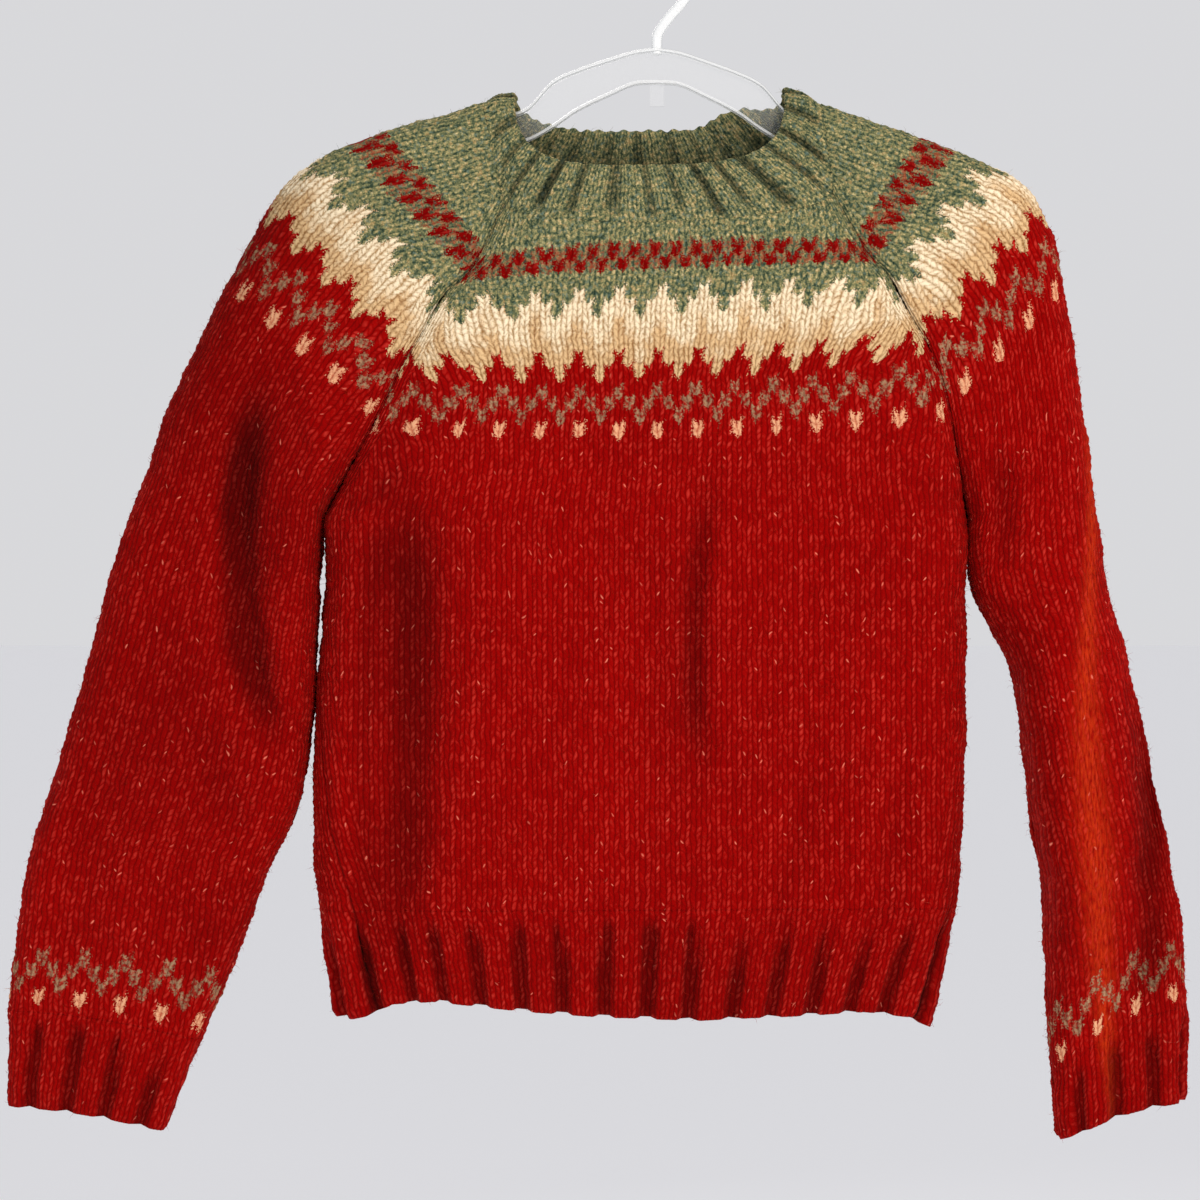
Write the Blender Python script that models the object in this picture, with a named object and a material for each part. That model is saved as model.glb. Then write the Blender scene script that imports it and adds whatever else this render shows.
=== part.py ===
"""A fair isle jumper hanging on a clear plastic hanger, as its knitted pieces and the hanger.

The jumper is made of a front and a back that narrow to the neck along slanted raglan seams, two sleeves whose
tops run up between them, ribbed hems and cuffs, and a ribbed neckband. Sizes are in millimetres and become
metres where a mesh is made. X runs across the chest, -Y is the front and +Z is up. The origin is the highest
point inside the hanger's hook, where a rail carries it.
"""

import bpy
import numpy as np

MM = 0.001
WALL = 3.0  # thickness of the knitted cloth
SIDE_GAP = 0.25  # half the gap between two edges at a side or sleeve seam
RAGLAN_GAP = 0.2  # half the gap across a raglan seam, measured sideways
HEM_GAP = 0.3  # half the gap between the ribbed hem and the body
CUFF_GAP = {"left": 0.27, "right": 0.65}  # the same at the cuffs, of which the right one meets an arched edge
NECK_GAP = 1.4  # gap under the neckband, whose lower edge turns in against the yoke
PANEL_COLUMNS = 20
SLEEVE_COLUMNS = 20
CROWDING = 0.6  # how much closer the mesh columns stand at the round sides than in the middle
BODY_STEPS = 3  # mesh rows from one table row to the next, below the underarm
SLEEVE_STEPS = 2
YOKE_STEPS = 2  # the same on body and sleeves, so that the raglan edges match
TINY = 1e-4  # step, in table rows or shares, over which a slope is taken
SHARP = np.radians(50)  # edges that bend more than this stay sharp

HEM_RIB = 24.9  # pitch of the two-by-two rib round the hem
CUFF_RIB = 21.0
NECK_RIBS = 56  # one-by-one ribs round the neckband
RIB_HEIGHT = 2.2
RIB_SINK = 0.8  # how far the rib's furrows lie below the plain knitting
RIB_POINTS = 4
RIB_FADE = 0.12  # share of a trim's height over which its ribs sink into the plain knitting


def table(columns, *rows):
    """A short table as {column name: its values down the rows}."""
    return dict(zip(columns.split(), np.array(rows, float).T))


# Body rows, from the hem's edge to the neckband. Each goes from its left end to its right end, sinks by drop
# in its middle, and stands front and back from the middle plane. edge is the depth of its ends, corner the
# length over which they round off, and rise lifts the back's ends. seam_left and seam_right give how far the
# side seams have slipped round to the front.
BODY = table(
    "left_x left_z right_x right_z drop front back edge corner rise seam_left seam_right",
    (-201, -667, 170, -673, 0, 24, 20, 0, 24, 0, 40, 18),  # hem edge
    (-212, -600, 187, -598, 0, 26, 21, 0, 26, 0, 38, 16),  # hem top
    (-216, -541, 192, -535, 0, 28, 22, 0, 28, 0, 26, 10),  # hip
    (-214, -462, 194, -462, 0, 29, 22, 0, 28, 0, 12, 5),  # waist
    (-209, -406, 194, -406, 1, 30, 22, 0, 28, 0, 3, 1),  # chest
    (-209, -353, 195, -355, 4, 31, 22, 0, 30, 0, 0, 0),  # underarm
    (-175, -292, 181, -285, 14, 31, 23, 20, 40, 0, 0, 0),  # dots
    (-160, -262, 169, -249, 14, 30, 23, 22, 45, 0, 0, 0),  # foot of the pale band
    (-146.5, -239, 156.5, -227, 8, 29.5, 23, 21, 48, 0, 0, 0),  # middle of the pale band
    (-133, -216, 144, -204, 2, 29, 23, 20, 50, 0, 0, 0),  # top of the pale band
    (-113, -196, 129, -187, 2, 28, 22, 17, 50, 3, 0, 0),  # check
    (-96, -159, 110, -153, 15, 27, 20, 13, 60, 26, 0, 0),  # neck
)
HEM_TOP, BODY_UNDERARM, BODY_NECK = 1, 5, 11
SAG_ROUND = 0.6  # power that flattens the middle of a sinking row

# Sleeve rows, from the cuff's edge to the neckband. Each goes from the underarm seam (edge_x, edge_z) to the
# outer fold (fold_x, fold_z), arches by bow in its middle, and stands front and back from the middle plane.
# From the underarm up, its edge is the body's raglan edge, so those rows give no edge.
SLEEVE_LEFT = table(
    "edge_x edge_z fold_x fold_z bow front back corner",
    (-309, -738, -408, -722, 3, 15, 13, 15),  # cuff edge
    (-287, -682, -407, -663, 4, 15, 13, 14),  # cuff top
    (-263, -626, -402, -614, 4, 18, 15, 17),  # wrist
    (-246, -579, -393, -563, 3, 20, 17, 19),  # forearm
    (-226, -536, -377, -510, 2, 22, 18, 20),  # below the elbow
    (-216, -478, -358, -445, 0, 24, 20, 22),  # elbow
    (-214, -431, -338, -373, 0, 25, 20, 23),  # upper arm
    (-212, -390, -319, -321, 0, 26, 21, 24),  # biceps
    (0, 0, -303, -275, 0, 27, 22, 25),  # underarm
    (0, 0, -270, -208, 0, 27, 22, 35),  # dots
    (0, 0, -249, -169, 0, 25, 22, 35),  # foot of the pale band
    (0, 0, -235, -147, 0, 23.5, 21.5, 32),  # middle of the pale band
    (0, 0, -213, -129, 0, 22, 21, 30),  # top of the pale band
    (0, 0, -180, -115, 0, 18, 18, 25),  # check
    (0, 0, -110, -93, 0, 14, 14, 20),  # neck
)
SLEEVE_RIGHT = table(
    "edge_x edge_z fold_x fold_z bow front back corner",
    (252, -744, 332, -719, 6, 22, 18, 20),  # cuff edge
    (248, -703, 332, -660, 9, 22, 18, 20),  # cuff top
    (245, -645, 329, -607, 10, 26, 20, 22),  # wrist
    (242, -585, 321, -563, 8, 29, 22, 24),  # forearm
    (234, -535, 310, -510, 5, 31, 22, 24),  # below the elbow
    (229, -488, 298, -456, 2, 32, 22, 24),  # elbow
    (220, -442, 285, -406, 0, 32, 22, 24),  # upper arm
    (198, -399, 278, -362, 0, 30, 22, 25),  # biceps
    (0, 0, 268, -292, 0, 29, 22, 25),  # underarm
    (0, 0, 255, -210, 0, 27, 22, 30),  # dots
    (0, 0, 247, -173, 0, 25, 22, 32),  # foot of the pale band
    (0, 0, 233, -147, 0, 23.5, 21.5, 29),  # middle of the pale band
    (0, 0, 204, -131, 0, 22, 21, 26),  # top of the pale band
    (0, 0, 174, -118.5, 0, 18, 18, 25),  # check
    (0, 0, 103, -94, 0, 14, 14, 20),  # neck
)
CUFF_TOP, SLEEVE_UNDERARM, SLEEVE_NECK = 1, 8, 14

# Soft folds of the front, from a lower to an upper point. bend bows the line sideways in its middle, width is
# its half-width and rise its height, below zero for a furrow.
FOLDS = table(
    "low_x low_z high_x high_z bend width rise",
    (-231, -520, -240, -245, -24, 13, -12),  # long furrow of the left sleeve
    (-214, -430, -222, -240, 8, 9, 5),  # bunched cloth under the left armhole
    (-172, -662, -160, -300, 14, 20, -9),  # furrow inside the left side seam
    (30, -540, 36, -300, -12, 10, -4),  # middle furrow
    (62, -640, 98, -480, 6, 14, -4),  # slanting furrow above the hem
    (136, -640, 150, -470, 4, 10, -3),  # short furrow at the right
    (272, -670, 248, -340, -8, 20, 14),  # lit ridge of the right sleeve
    (214, -405, 206, -300, 5, 9, -6),  # furrow beside the right armhole
    (-350, -640, -310, -430, 6, 22, 5),  # forearm swell of the left sleeve
)
FOLD_FADE = 0.28  # share of a fold's length over which each end dies away
FOLD_FLOOR = 6.0  # depth within which a fold fades, so that the outer edges keep their line
FOLD_FULL = 20.0

# The hem's edge, as a lift above the straight line between its ends: it hangs lowest at the side seams.
HEM_WAVE = table(
    "x lift",
    (-190, 1), (-178, 4), (-165, 11), (-140, 13), (-86, 8), (-36, 5),
    (27, 4), (90, 8), (128, 11), (158, 8), (170, 0),
)

# The neckband's upper edge: a flattened loop between two shoulder peaks.
PEAK_LEFT = (-89, -86)
PEAK_RIGHT = (80, -83)
NECK_DIP_FRONT, NECK_DIP_BACK = 50, 23
NECK_DEPTH_FRONT, NECK_DEPTH_BACK = 24, 20
NECK_SQUARE, NECK_ROUND = 0.6, 0.5  # powers that shape the loop across and in depth
NECK_STEEP_FRONT, NECK_STEEP_BACK = 0.6, 0.9  # and down
NECK_WAVE = table("x lift", (25, 0), (44, 9), (58, 9), (76, 0))  # lift of the back's edge over the hanger
NECK_BULGE = 2.0
LOOP_POINTS = 4000  # points along the loop before it is divided evenly

# One half of the hanger: the upper and lower edge of its arm at each distance from the middle.
HANGER = table(
    "out top foot",
    (0, -58, -81),
    (14, -60, -82),
    (30, -65, -89),
    (50, -72, -99),
    (66, -80, -110),
    (84, -98, -119.5),
    (110, -101.5, -125.5),
    (140, -108.5, -134),
    (175, -121, -145),
    (200, -134, -152),
    (211, -142, -154),
)
HANGER_TILT = np.tan(np.radians(0.8))  # it hangs a little lower on the right
HANGER_STEPS = 2
FLANGE_HALF, FLANGE_THICK, FLANGE_CROWN = 4.0, 2.2, 1.0
WEB_HALF, WEB_FILLET = 1.1, 0.6
HOOK_BORE = 17.0  # radius inside the hook
HOOK_WIRE = 3.2  # radius of the hook's rod
HOOK_SIDES = 10
HOOK_START, HOOK_END, HOOK_STEPS = np.radians(-38), np.radians(205), 22  # turn of the hook round the rail
SHANK_FOOT, SHANK_TOP, SHANK_STEPS = -62.0, -52.0, 7
SHANK_RISE, SHANK_LEAN = 18.0, 18.0  # how straight the shank leaves the arms and meets the hook
TAB_HALF_WIDTH, TAB_HALF_THICK, TAB_TOP, TAB_FOOT = 4.5, 0.9, -82.0, -95.0


def along(column, level, corner=None):
    """Smooth value of a table column at any level between its rows: a cubic through the rows.

    The slope at a row is that between its neighbours. At a corner row each side keeps its own slope.
    """
    level = np.clip(np.asarray(level, float), 0, len(column) - 1)
    low = np.minimum(level.astype(int), len(column) - 2)
    share = level - low
    step = np.diff(column)
    before = np.concatenate([step[:1], (step[1:] + step[:-1]) / 2, step[-1:]])
    after = before.copy()
    if corner is not None:
        before[corner] = step[corner - 1]
        after[corner] = step[corner]
    bend = share**2 * (3 - 2 * share)
    leave = share * (1 - share) ** 2
    arrive = share**2 * (share - 1)
    return column[low] * (1 - bend) + column[low + 1] * bend + after[low] * leave + before[low + 1] * arrive


def smooth(share):
    """Zero up to 0, one from 1, and an S between them."""
    share = np.clip(share, 0, 1)
    return share**2 * (3 - 2 * share)


def flat_tube(travel, width, depth, near_depth, near_run, far_depth, far_run):
    """How far across and how deep a flattened tube's face is, at a distance of travel along it.

    A quarter ellipse rises from near_depth over near_run, a flat follows, and another falls to far_depth.
    """
    near_arc = np.pi / 2 * np.hypot(near_run, depth - near_depth) / np.sqrt(2)
    far_arc = np.pi / 2 * np.hypot(far_run, depth - far_depth) / np.sqrt(2)
    whole = near_arc + far_arc + width - near_run - far_run
    rest = whole - travel
    near_turn = np.pi / 2 * np.clip(travel / near_arc, 0, 1)
    far_turn = np.pi / 2 * np.clip(rest / far_arc, 0, 1)
    across = near_run + travel - near_arc
    across = np.where(travel < near_arc, near_run * (1 - np.cos(near_turn)), across)
    across = np.where(rest < far_arc, width - far_run * (1 - np.cos(far_turn)), across)
    rise = near_depth + (depth - near_depth) * np.sin(near_turn)
    fall = far_depth + (depth - far_depth) * np.sin(far_turn)
    return across, np.minimum(rise, fall), whole


def face_length(width, depth, near_depth, near_run, far_depth, far_run):
    """Length of that face from edge to edge."""
    return flat_tube(0 * width, width, depth, near_depth, near_run, far_depth, far_run)[2]


def folded(points):
    """Moves the front's points in and out by the folds, each a soft ridge along its bowed line."""
    x, y, z = points[..., 0], points[..., 1], points[..., 2]
    shift = np.zeros_like(x)
    for low_x, low_z, high_x, high_z, bend, width, rise in zip(*FOLDS.values()):
        run_x, run_z = high_x - low_x, high_z - low_z
        length = np.hypot(run_x, run_z)
        share = ((x - low_x) * run_x + (z - low_z) * run_z) / length**2
        side = ((x - low_x) * run_z - (z - low_z) * run_x) / length
        side = side - bend * 4 * share * (1 - share)
        ends = smooth(share / FOLD_FADE) * smooth((1 - share) / FOLD_FADE)
        shift += rise * ends * np.exp(-((side / width) ** 2))
    held = smooth((-y - FOLD_FLOOR) / (FOLD_FULL - FOLD_FLOOR))
    return np.stack([x, y - shift * held, z], -1)


def body_point(level, travel, side):
    """A point of the body's row at a distance of travel from its left end, on the front (-1) or back (1)."""
    left_x, left_z, right_x, right_z = (
        along(BODY[name], level, BODY_UNDERARM) for name in ("left_x", "left_z", "right_x", "right_z")
    )
    left_x = left_x + RAGLAN_GAP
    right_x = right_x - RAGLAN_GAP
    edge = along(BODY["edge"], level, BODY_UNDERARM)
    corner = along(BODY["corner"], level)
    depth = along(BODY["front" if side < 0 else "back"], level)
    width = right_x - left_x
    across, deep, _ = flat_tube(travel, width, depth, edge, corner, edge, corner)
    share = np.clip(across / width, 0, 1)
    middle = (1 - (2 * share - 1) ** 2) ** SAG_ROUND
    z = left_z * (1 - share) + right_z * share - along(BODY["drop"], level) * middle
    z = z + np.interp(left_x + across, HEM_WAVE["x"], HEM_WAVE["lift"]) * (1 - np.clip(level, 0, 1))
    if side > 0:
        z = z + along(BODY["rise"], level, BODY_UNDERARM)
    return np.stack([left_x + across, side * deep, z], -1)


def body_length(level, side):
    """Length of the body's row on the front (-1) or the back (1)."""
    width = along(BODY["right_x"], level, BODY_UNDERARM) - along(BODY["left_x"], level, BODY_UNDERARM)
    width = width - 2 * RAGLAN_GAP
    edge = along(BODY["edge"], level, BODY_UNDERARM)
    corner = along(BODY["corner"], level)
    depth = along(BODY["front" if side < 0 else "back"], level)
    return face_length(width, depth, edge, corner, edge, corner)


def body_panel(level, share, side):
    """The front's or the back's outer face at a share of the way across, seen from outside from its left."""
    gap = SIDE_GAP
    seam_left = along(BODY["seam_left"], level)
    seam_right = along(BODY["seam_right"], level)
    front = body_length(level, -1)
    back = body_length(level, 1)
    if side < 0:
        start, end = seam_left + gap, front - seam_right - gap
        return folded(body_point(level, start * (1 - share) + end * share, -1))
    # The back starts at the right seam, which may lie on the front, and runs round to the left one.
    start, end = gap - seam_right, back + seam_left - gap
    travel = start * (1 - share) + end * share
    behind = body_point(level, back - np.clip(travel, 0, back), 1)
    right_of_front = folded(body_point(level, front + np.minimum(travel, 0), -1))
    left_of_front = folded(body_point(level, np.maximum(travel - back, 0), -1))
    on_right = (travel < 0)[..., None]
    on_left = (travel > back)[..., None]
    return np.where(on_right, right_of_front, np.where(on_left, left_of_front, behind))


def sleeve_rows(sleeve, end):
    """The sleeve's edge columns with the body's raglan edge joined on above the underarm.

    end is the side of the body, left or right.
    """
    raglan = slice(BODY_UNDERARM, None)
    edge_x = np.concatenate([sleeve["edge_x"][:SLEEVE_UNDERARM], BODY[end + "_x"][raglan]])
    edge_z = np.concatenate([sleeve["edge_z"][:SLEEVE_UNDERARM], BODY[end + "_z"][raglan]])
    zeros = np.zeros(SLEEVE_UNDERARM)
    edge = np.concatenate([zeros, BODY["edge"][raglan]])
    rise = np.concatenate([zeros, BODY["rise"][raglan]])
    return edge_x, edge_z, edge, rise


def sleeve_face(sleeve, end, level, share, side):
    """A point of the sleeve's front (-1) or back (1), at a share of the way from its edge to its fold."""
    columns = sleeve_rows(sleeve, end)
    edge_x, edge_z, edge, rise = (along(column, level, SLEEVE_UNDERARM) for column in columns)
    edge_x = edge_x + (RAGLAN_GAP if end == "right" else -RAGLAN_GAP)
    if side > 0:
        edge_z = edge_z + rise
    run_x = along(sleeve["fold_x"], level) - edge_x
    run_z = along(sleeve["fold_z"], level) - edge_z
    width = np.hypot(run_x, run_z)
    depth = along(sleeve["front" if side < 0 else "back"], level)
    corner = along(sleeve["corner"], level)
    shape = (width, depth, edge, corner, 0 * depth, depth)
    whole = face_length(*shape)
    across, deep, _ = flat_tube(SIDE_GAP + (whole - SIDE_GAP) * share, *shape)
    way = across / width
    bow = along(sleeve["bow"], level) * 4 * way * (1 - way)
    points = np.stack([edge_x + run_x * way, side * deep, edge_z + run_z * way + bow], -1)
    return folded(points) if side < 0 else points


def sleeve_panel(level, share, sleeve, end):
    """The sleeve's outer face, from one edge over the fold to the other, seen from outside from its left."""
    round_share = 2 * share if end == "right" else 2 - 2 * share
    front = sleeve_face(sleeve, end, level, np.minimum(round_share, 1), -1)
    back = sleeve_face(sleeve, end, level, np.minimum(2 - round_share, 1), 1)
    return np.where((round_share <= 1)[..., None], front, back)


def crowded(count, faces):
    """Shares of the way across a panel that stand closer at the ends of each of its faces."""
    even = np.linspace(0, faces, count + 1)
    return (even - CROWDING * np.sin(2 * np.pi * even) / (2 * np.pi)) / faces


def spread(start, end, corners):
    """Levels from start to end with the given number of mesh rows from each table row to the next."""
    levels = [start]
    for low, high, steps in corners:
        first, last = max(low, start), min(high, end)
        count = int(np.ceil((last - first) * steps - TINY))
        levels.extend(first + (last - first) * (i + 1) / count for i in range(count))
    return np.array(levels)


def unit(vectors):
    """The vectors at length one."""
    return vectors / np.linalg.norm(vectors, axis=-1, keepdims=True)


def panel(face, levels, shares):
    """Grid of a panel and its outward normals: the cross product of short steps across and up."""
    level, share = np.meshgrid(levels, shares, indexing="ij")
    across = face(level, np.minimum(share + TINY, 1)) - face(level, np.maximum(share - TINY, 0))
    up = face(np.minimum(level + TINY, levels[-1]), share) - face(np.maximum(level - TINY, levels[0]), share)
    return face(level, share), unit(np.cross(across, up))


def ring_normals(grid):
    """Outward normals of a closed ring of columns, from the columns and rows on either side."""
    across = np.roll(grid, -1, 1) - np.roll(grid, 1, 1)
    return unit(np.cross(across, np.gradient(grid, axis=0)))


def wall(outer, normal, ring=False, ribs=None, plain_row=-1):
    """Vertices and faces of a closed wall of cloth under an outer grid with its normals.

    The plain inside lies WALL below the grid. ribs gives each column's phase in its rib: two points of every
    four are raised, but for the row that meets the plain knitting.
    """
    inner = outer - WALL * normal
    if ribs is not None:
        height = np.isin(ribs % RIB_POINTS, (1, 2)) * RIB_HEIGHT - RIB_SINK
        ribbed = np.ones(len(outer))
        ribbed[plain_row] = 0
        outer = outer + (ribbed[:, None] * height)[..., None] * normal
    rows, columns = outer.shape[:2]
    out = np.arange(rows * columns).reshape(rows, columns)
    if ring:
        out = np.hstack([out, out[:, :1]])
    within = out + rows * columns

    def strip(first, second):
        """Quads between two lines of vertices."""
        return np.stack([first[:-1], first[1:], second[1:], second[:-1]], -1).reshape(-1, 4)

    faces = [strip(out[i], out[i + 1]) for i in range(rows - 1)]
    faces += [strip(within[i + 1], within[i]) for i in range(rows - 1)]
    faces += [strip(within[0], out[0]), strip(out[-1], within[-1])]
    if not ring:
        faces += [strip(out[:, 0], within[:, 0]), strip(within[:, -1], out[:, -1])]
    return np.concatenate([outer.reshape(-1, 3), inner.reshape(-1, 3)]), np.concatenate(faces)


def finish(name, colour, roughness, transmission=0.0):
    """A plain material in the piece's colour."""
    material = bpy.data.materials.new(name)
    material.use_nodes = True
    shader = material.node_tree.nodes["Principled BSDF"]
    shader.inputs["Base Color"].default_value = (*colour, 1)
    shader.inputs["Roughness"].default_value = roughness
    shader.inputs["Metallic"].default_value = 0
    shader.inputs["Transmission Weight"].default_value = transmission
    return material


def piece(name, vertices, faces, material):
    """One named object of the model, from points in millimetres."""
    mesh = bpy.data.meshes.new(name)
    mesh.from_pydata((np.asarray(vertices) * MM).tolist(), [], [list(map(int, face)) for face in faces])
    mesh.materials.append(material)
    mesh.validate()
    mesh.shade_smooth()
    mesh.set_sharp_from_angle(angle=SHARP)
    thing = bpy.data.objects.new(name, mesh)
    bpy.context.scene.collection.objects.link(thing)
    return thing


def rib_columns(count):
    """Phase of each mesh column of a ribbed trim with the given number of ribs and one more edge column."""
    return np.arange(count * RIB_POINTS + 1)


def neck_loop(pieces):
    """The yoke's upper edge: the top rows of its four pieces one after another."""
    return np.concatenate([grid[-1] for grid in pieces])


def even(loop, count):
    """The closed loop resampled to count points at even distances, the first one kept."""
    closed = np.vstack([loop, loop[:1]])
    travel = np.concatenate([[0], np.cumsum(np.linalg.norm(np.diff(closed, axis=0), axis=1))])
    stops = np.linspace(0, travel[-1], count, endpoint=False)
    return np.stack([np.interp(stops, travel, closed[:, k]) for k in range(3)], -1)


def neck_edge(start_share, count):
    """The neckband's upper edge, as count points from left to right along the front and back behind.

    Turning from the left peak, X goes with the cosine, and the dip and the depth with the sine, each to a
    power that squares the loop off.
    """
    turn = np.linspace(0, 2 * np.pi, LOOP_POINTS, endpoint=False)
    cosine, sine = np.cos(turn), np.sin(turn)
    front = sine >= 0
    half = (PEAK_RIGHT[0] - PEAK_LEFT[0]) / 2
    x = (PEAK_LEFT[0] + PEAK_RIGHT[0]) / 2 - half * np.sign(cosine) * np.abs(cosine) ** NECK_SQUARE
    y = np.abs(sine) ** NECK_ROUND * np.where(front, -NECK_DEPTH_FRONT, NECK_DEPTH_BACK)
    line = PEAK_LEFT[1] + (PEAK_RIGHT[1] - PEAK_LEFT[1]) * (x - PEAK_LEFT[0]) / (2 * half)
    front_z = line - NECK_DIP_FRONT * np.abs(sine) ** NECK_STEEP_FRONT
    back_z = line - NECK_DIP_BACK * np.abs(sine) ** NECK_STEEP_BACK
    back_z = back_z + np.interp(x, NECK_WAVE["x"], NECK_WAVE["lift"])
    dense = even(np.stack([x, y, np.where(front, front_z, back_z)], -1), LOOP_POINTS)
    dense = np.roll(dense, -int(round(start_share * LOOP_POINTS)), 0)
    return even(dense, count)


def neckband(pieces):
    """Grid of the neckband: even ribs from the yoke's upper edge to the band's own."""
    count = NECK_RIBS * RIB_POINTS
    loop = neck_loop(pieces)
    base = even(loop, count)
    # The left sleeve's fold is the loop's point furthest left. The edge starts at the peak above it.
    steps = np.linalg.norm(np.diff(np.vstack([loop, loop[:1]]), axis=0), axis=1)
    fold_share = steps[: np.argmin(loop[:, 0])].sum() / steps.sum()
    top = neck_edge(1 - fold_share, count)
    way = top - base
    tangent = unit(np.roll(base, -1, 0) - np.roll(base, 1, 0))
    straight_up = way - (way * tangent).sum(-1, keepdims=True) * tangent
    start = NECK_GAP / np.linalg.norm(straight_up, axis=1)[None, :, None]
    share = np.array([0, RIB_FADE, 1])[:, None, None]
    grid = base + way * (start + (1 - start) * share)
    bulge = NECK_BULGE * 4 * share * (1 - share)
    return grid + bulge * ring_normals(grid)


def hanger_arm_points():
    """Stations along the hanger with the outline of each: an I of two flanges and a web."""
    levels = np.linspace(0, len(HANGER["out"]) - 1, (len(HANGER["out"]) - 1) * HANGER_STEPS + 1)
    out, top, foot = (along(HANGER[name], levels) for name in ("out", "top", "foot"))
    x = np.concatenate([-out[:0:-1], out])
    top = np.concatenate([top[:0:-1], top]) - x * HANGER_TILT
    foot = np.concatenate([foot[:0:-1], foot]) - x * HANGER_TILT
    f, w, k = FLANGE_HALF, WEB_HALF, FLANGE_THICK
    # (depth, share of the height, height above it) down the front side and up the back one
    half = (
        (f / 2, 1, 0), (f, 1, -FLANGE_CROWN), (f, 1, -k), (w, 1, -k - WEB_FILLET),
        (w, 0, k + WEB_FILLET), (f, 0, k), (f, 0, 0),
    )
    outline = half + tuple((-y, share, lift) for y, share, lift in half[::-1])
    rows = [np.stack([x, 0 * x + y, foot + (top - foot) * share + lift], -1) for y, share, lift in outline]
    return np.stack(rows, 1)


def capped_tube(rings):
    """Vertices and faces of a closed solid through rings of points, with a flat cap at each end."""
    count, sides = rings.shape[:2]
    index = np.arange(count * sides).reshape(count, sides)
    faces = [
        (index[i, j], index[i, (j + 1) % sides], index[i + 1, (j + 1) % sides], index[i + 1, j])
        for i in range(count - 1)
        for j in range(sides)
    ]
    faces += [tuple(index[0][::-1]), tuple(index[-1])]
    return rings.reshape(-1, 3), faces


def hook_rings():
    """The hook's rod: up the shank, over to one side and round the rail, with a tapered tip."""
    radius = HOOK_BORE + HOOK_WIRE
    turn = np.linspace(HOOK_START, HOOK_END, HOOK_STEPS)
    bow = np.stack([radius * np.cos(turn), 0 * turn, -HOOK_BORE + radius * np.sin(turn)], -1)
    start = np.array([0, 0, SHANK_TOP])
    heading = np.array([-np.sin(HOOK_START), 0, np.cos(HOOK_START)])
    share = np.linspace(0, 1, SHANK_STEPS)[:, None]
    leave = SHANK_RISE * np.array([0, 0, 1]) * share * (1 - share) ** 2
    arrive = SHANK_LEAN * heading * share**2 * (share - 1)
    neck = start + (bow[0] - start) * smooth(share) + leave + arrive
    path = np.vstack([[0, 0, SHANK_FOOT], neck[:-1], bow])
    tangent = np.gradient(path, axis=0)
    tangent /= np.linalg.norm(tangent, axis=1, keepdims=True)
    side = np.array([0.0, 1.0, 0.0])
    across = np.cross(tangent, side)
    around = np.linspace(0, 2 * np.pi, HOOK_SIDES, endpoint=False)[None, :, None]
    wire = np.full(len(path), HOOK_WIRE)
    wire[-1] = HOOK_WIRE / 2
    offset = np.cos(around) * across[:, None, :] + np.sin(around) * side
    return path[:, None, :] + offset * wire[:, None, None]


def tab_rings():
    """The small plain tab under the middle of the hanger, as two rectangles one above the other."""
    w, t = TAB_HALF_WIDTH, TAB_HALF_THICK
    corners = ((w, -t), (w, t), (-w, t), (-w, -t))
    return np.array([[(x, y, z) for x, y in corners] for z in (TAB_FOOT, TAB_TOP + FLANGE_THICK)])


def joined(base, helpers):
    """Unites the helpers with the base by Booleans and hides them."""
    for helper in helpers:
        helper.hide_render = True
        helper.display_type = "WIRE"
        union = base.modifiers.new("join " + helper.name, "BOOLEAN")
        union.operation = "UNION"
        union.solver = "EXACT"
        union.object = helper
    return base


for old in list(bpy.data.objects):
    bpy.data.objects.remove(old)

body_lower = [(low, low + 1, BODY_STEPS) for low in range(HEM_TOP, BODY_UNDERARM)]
body_yoke = [(low, low + 1, YOKE_STEPS) for low in range(BODY_UNDERARM, BODY_NECK)]
sleeve_lower = [(low, low + 1, SLEEVE_STEPS) for low in range(CUFF_TOP, SLEEVE_UNDERARM)]
sleeve_yoke = [(low, low + 1, YOKE_STEPS) for low in range(SLEEVE_UNDERARM, SLEEVE_NECK)]
HEM_LENGTH = BODY["left_z"][HEM_TOP] - BODY["left_z"][0]
CUFF_LENGTH = SLEEVE_LEFT["fold_z"][CUFF_TOP] - SLEEVE_LEFT["fold_z"][0]
hem_gap = HEM_GAP / HEM_LENGTH
cuff_gap = {end: gap / CUFF_LENGTH for end, gap in CUFF_GAP.items()}

body_levels = spread(HEM_TOP + hem_gap, BODY_NECK, body_lower + body_yoke)
sleeve_levels = {
    end: spread(CUFF_TOP + gap, SLEEVE_NECK, sleeve_lower + sleeve_yoke) for end, gap in cuff_gap.items()
}


def front_face(level, share):
    """The front's outer face."""
    return body_panel(level, share, -1)


def back_face(level, share):
    """The back's outer face."""
    return body_panel(level, share, 1)


def left_face(level, share):
    """The left sleeve's outer face, with its cuff."""
    return sleeve_panel(level, share, SLEEVE_LEFT, "left")


def right_face(level, share):
    """The right sleeve's outer face, with its cuff."""
    return sleeve_panel(level, share, SLEEVE_RIGHT, "right")


RED, GREEN, CLEAR = (0.33, 0.012, 0.008), (0.13, 0.15, 0.085), (0.9, 0.93, 0.92)
panels = {
    "front": panel(front_face, body_levels, crowded(PANEL_COLUMNS, 1)),
    "sleeve_right": panel(right_face, sleeve_levels["right"], crowded(SLEEVE_COLUMNS, 2)),
    "back": panel(back_face, body_levels, crowded(PANEL_COLUMNS, 1)),
    "sleeve_left": panel(left_face, sleeve_levels["left"], crowded(SLEEVE_COLUMNS, 2)),
}
for name, (grid, normal) in panels.items():
    piece(name, *wall(grid, normal), finish(name + " red wool", RED, 0.9))

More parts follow.
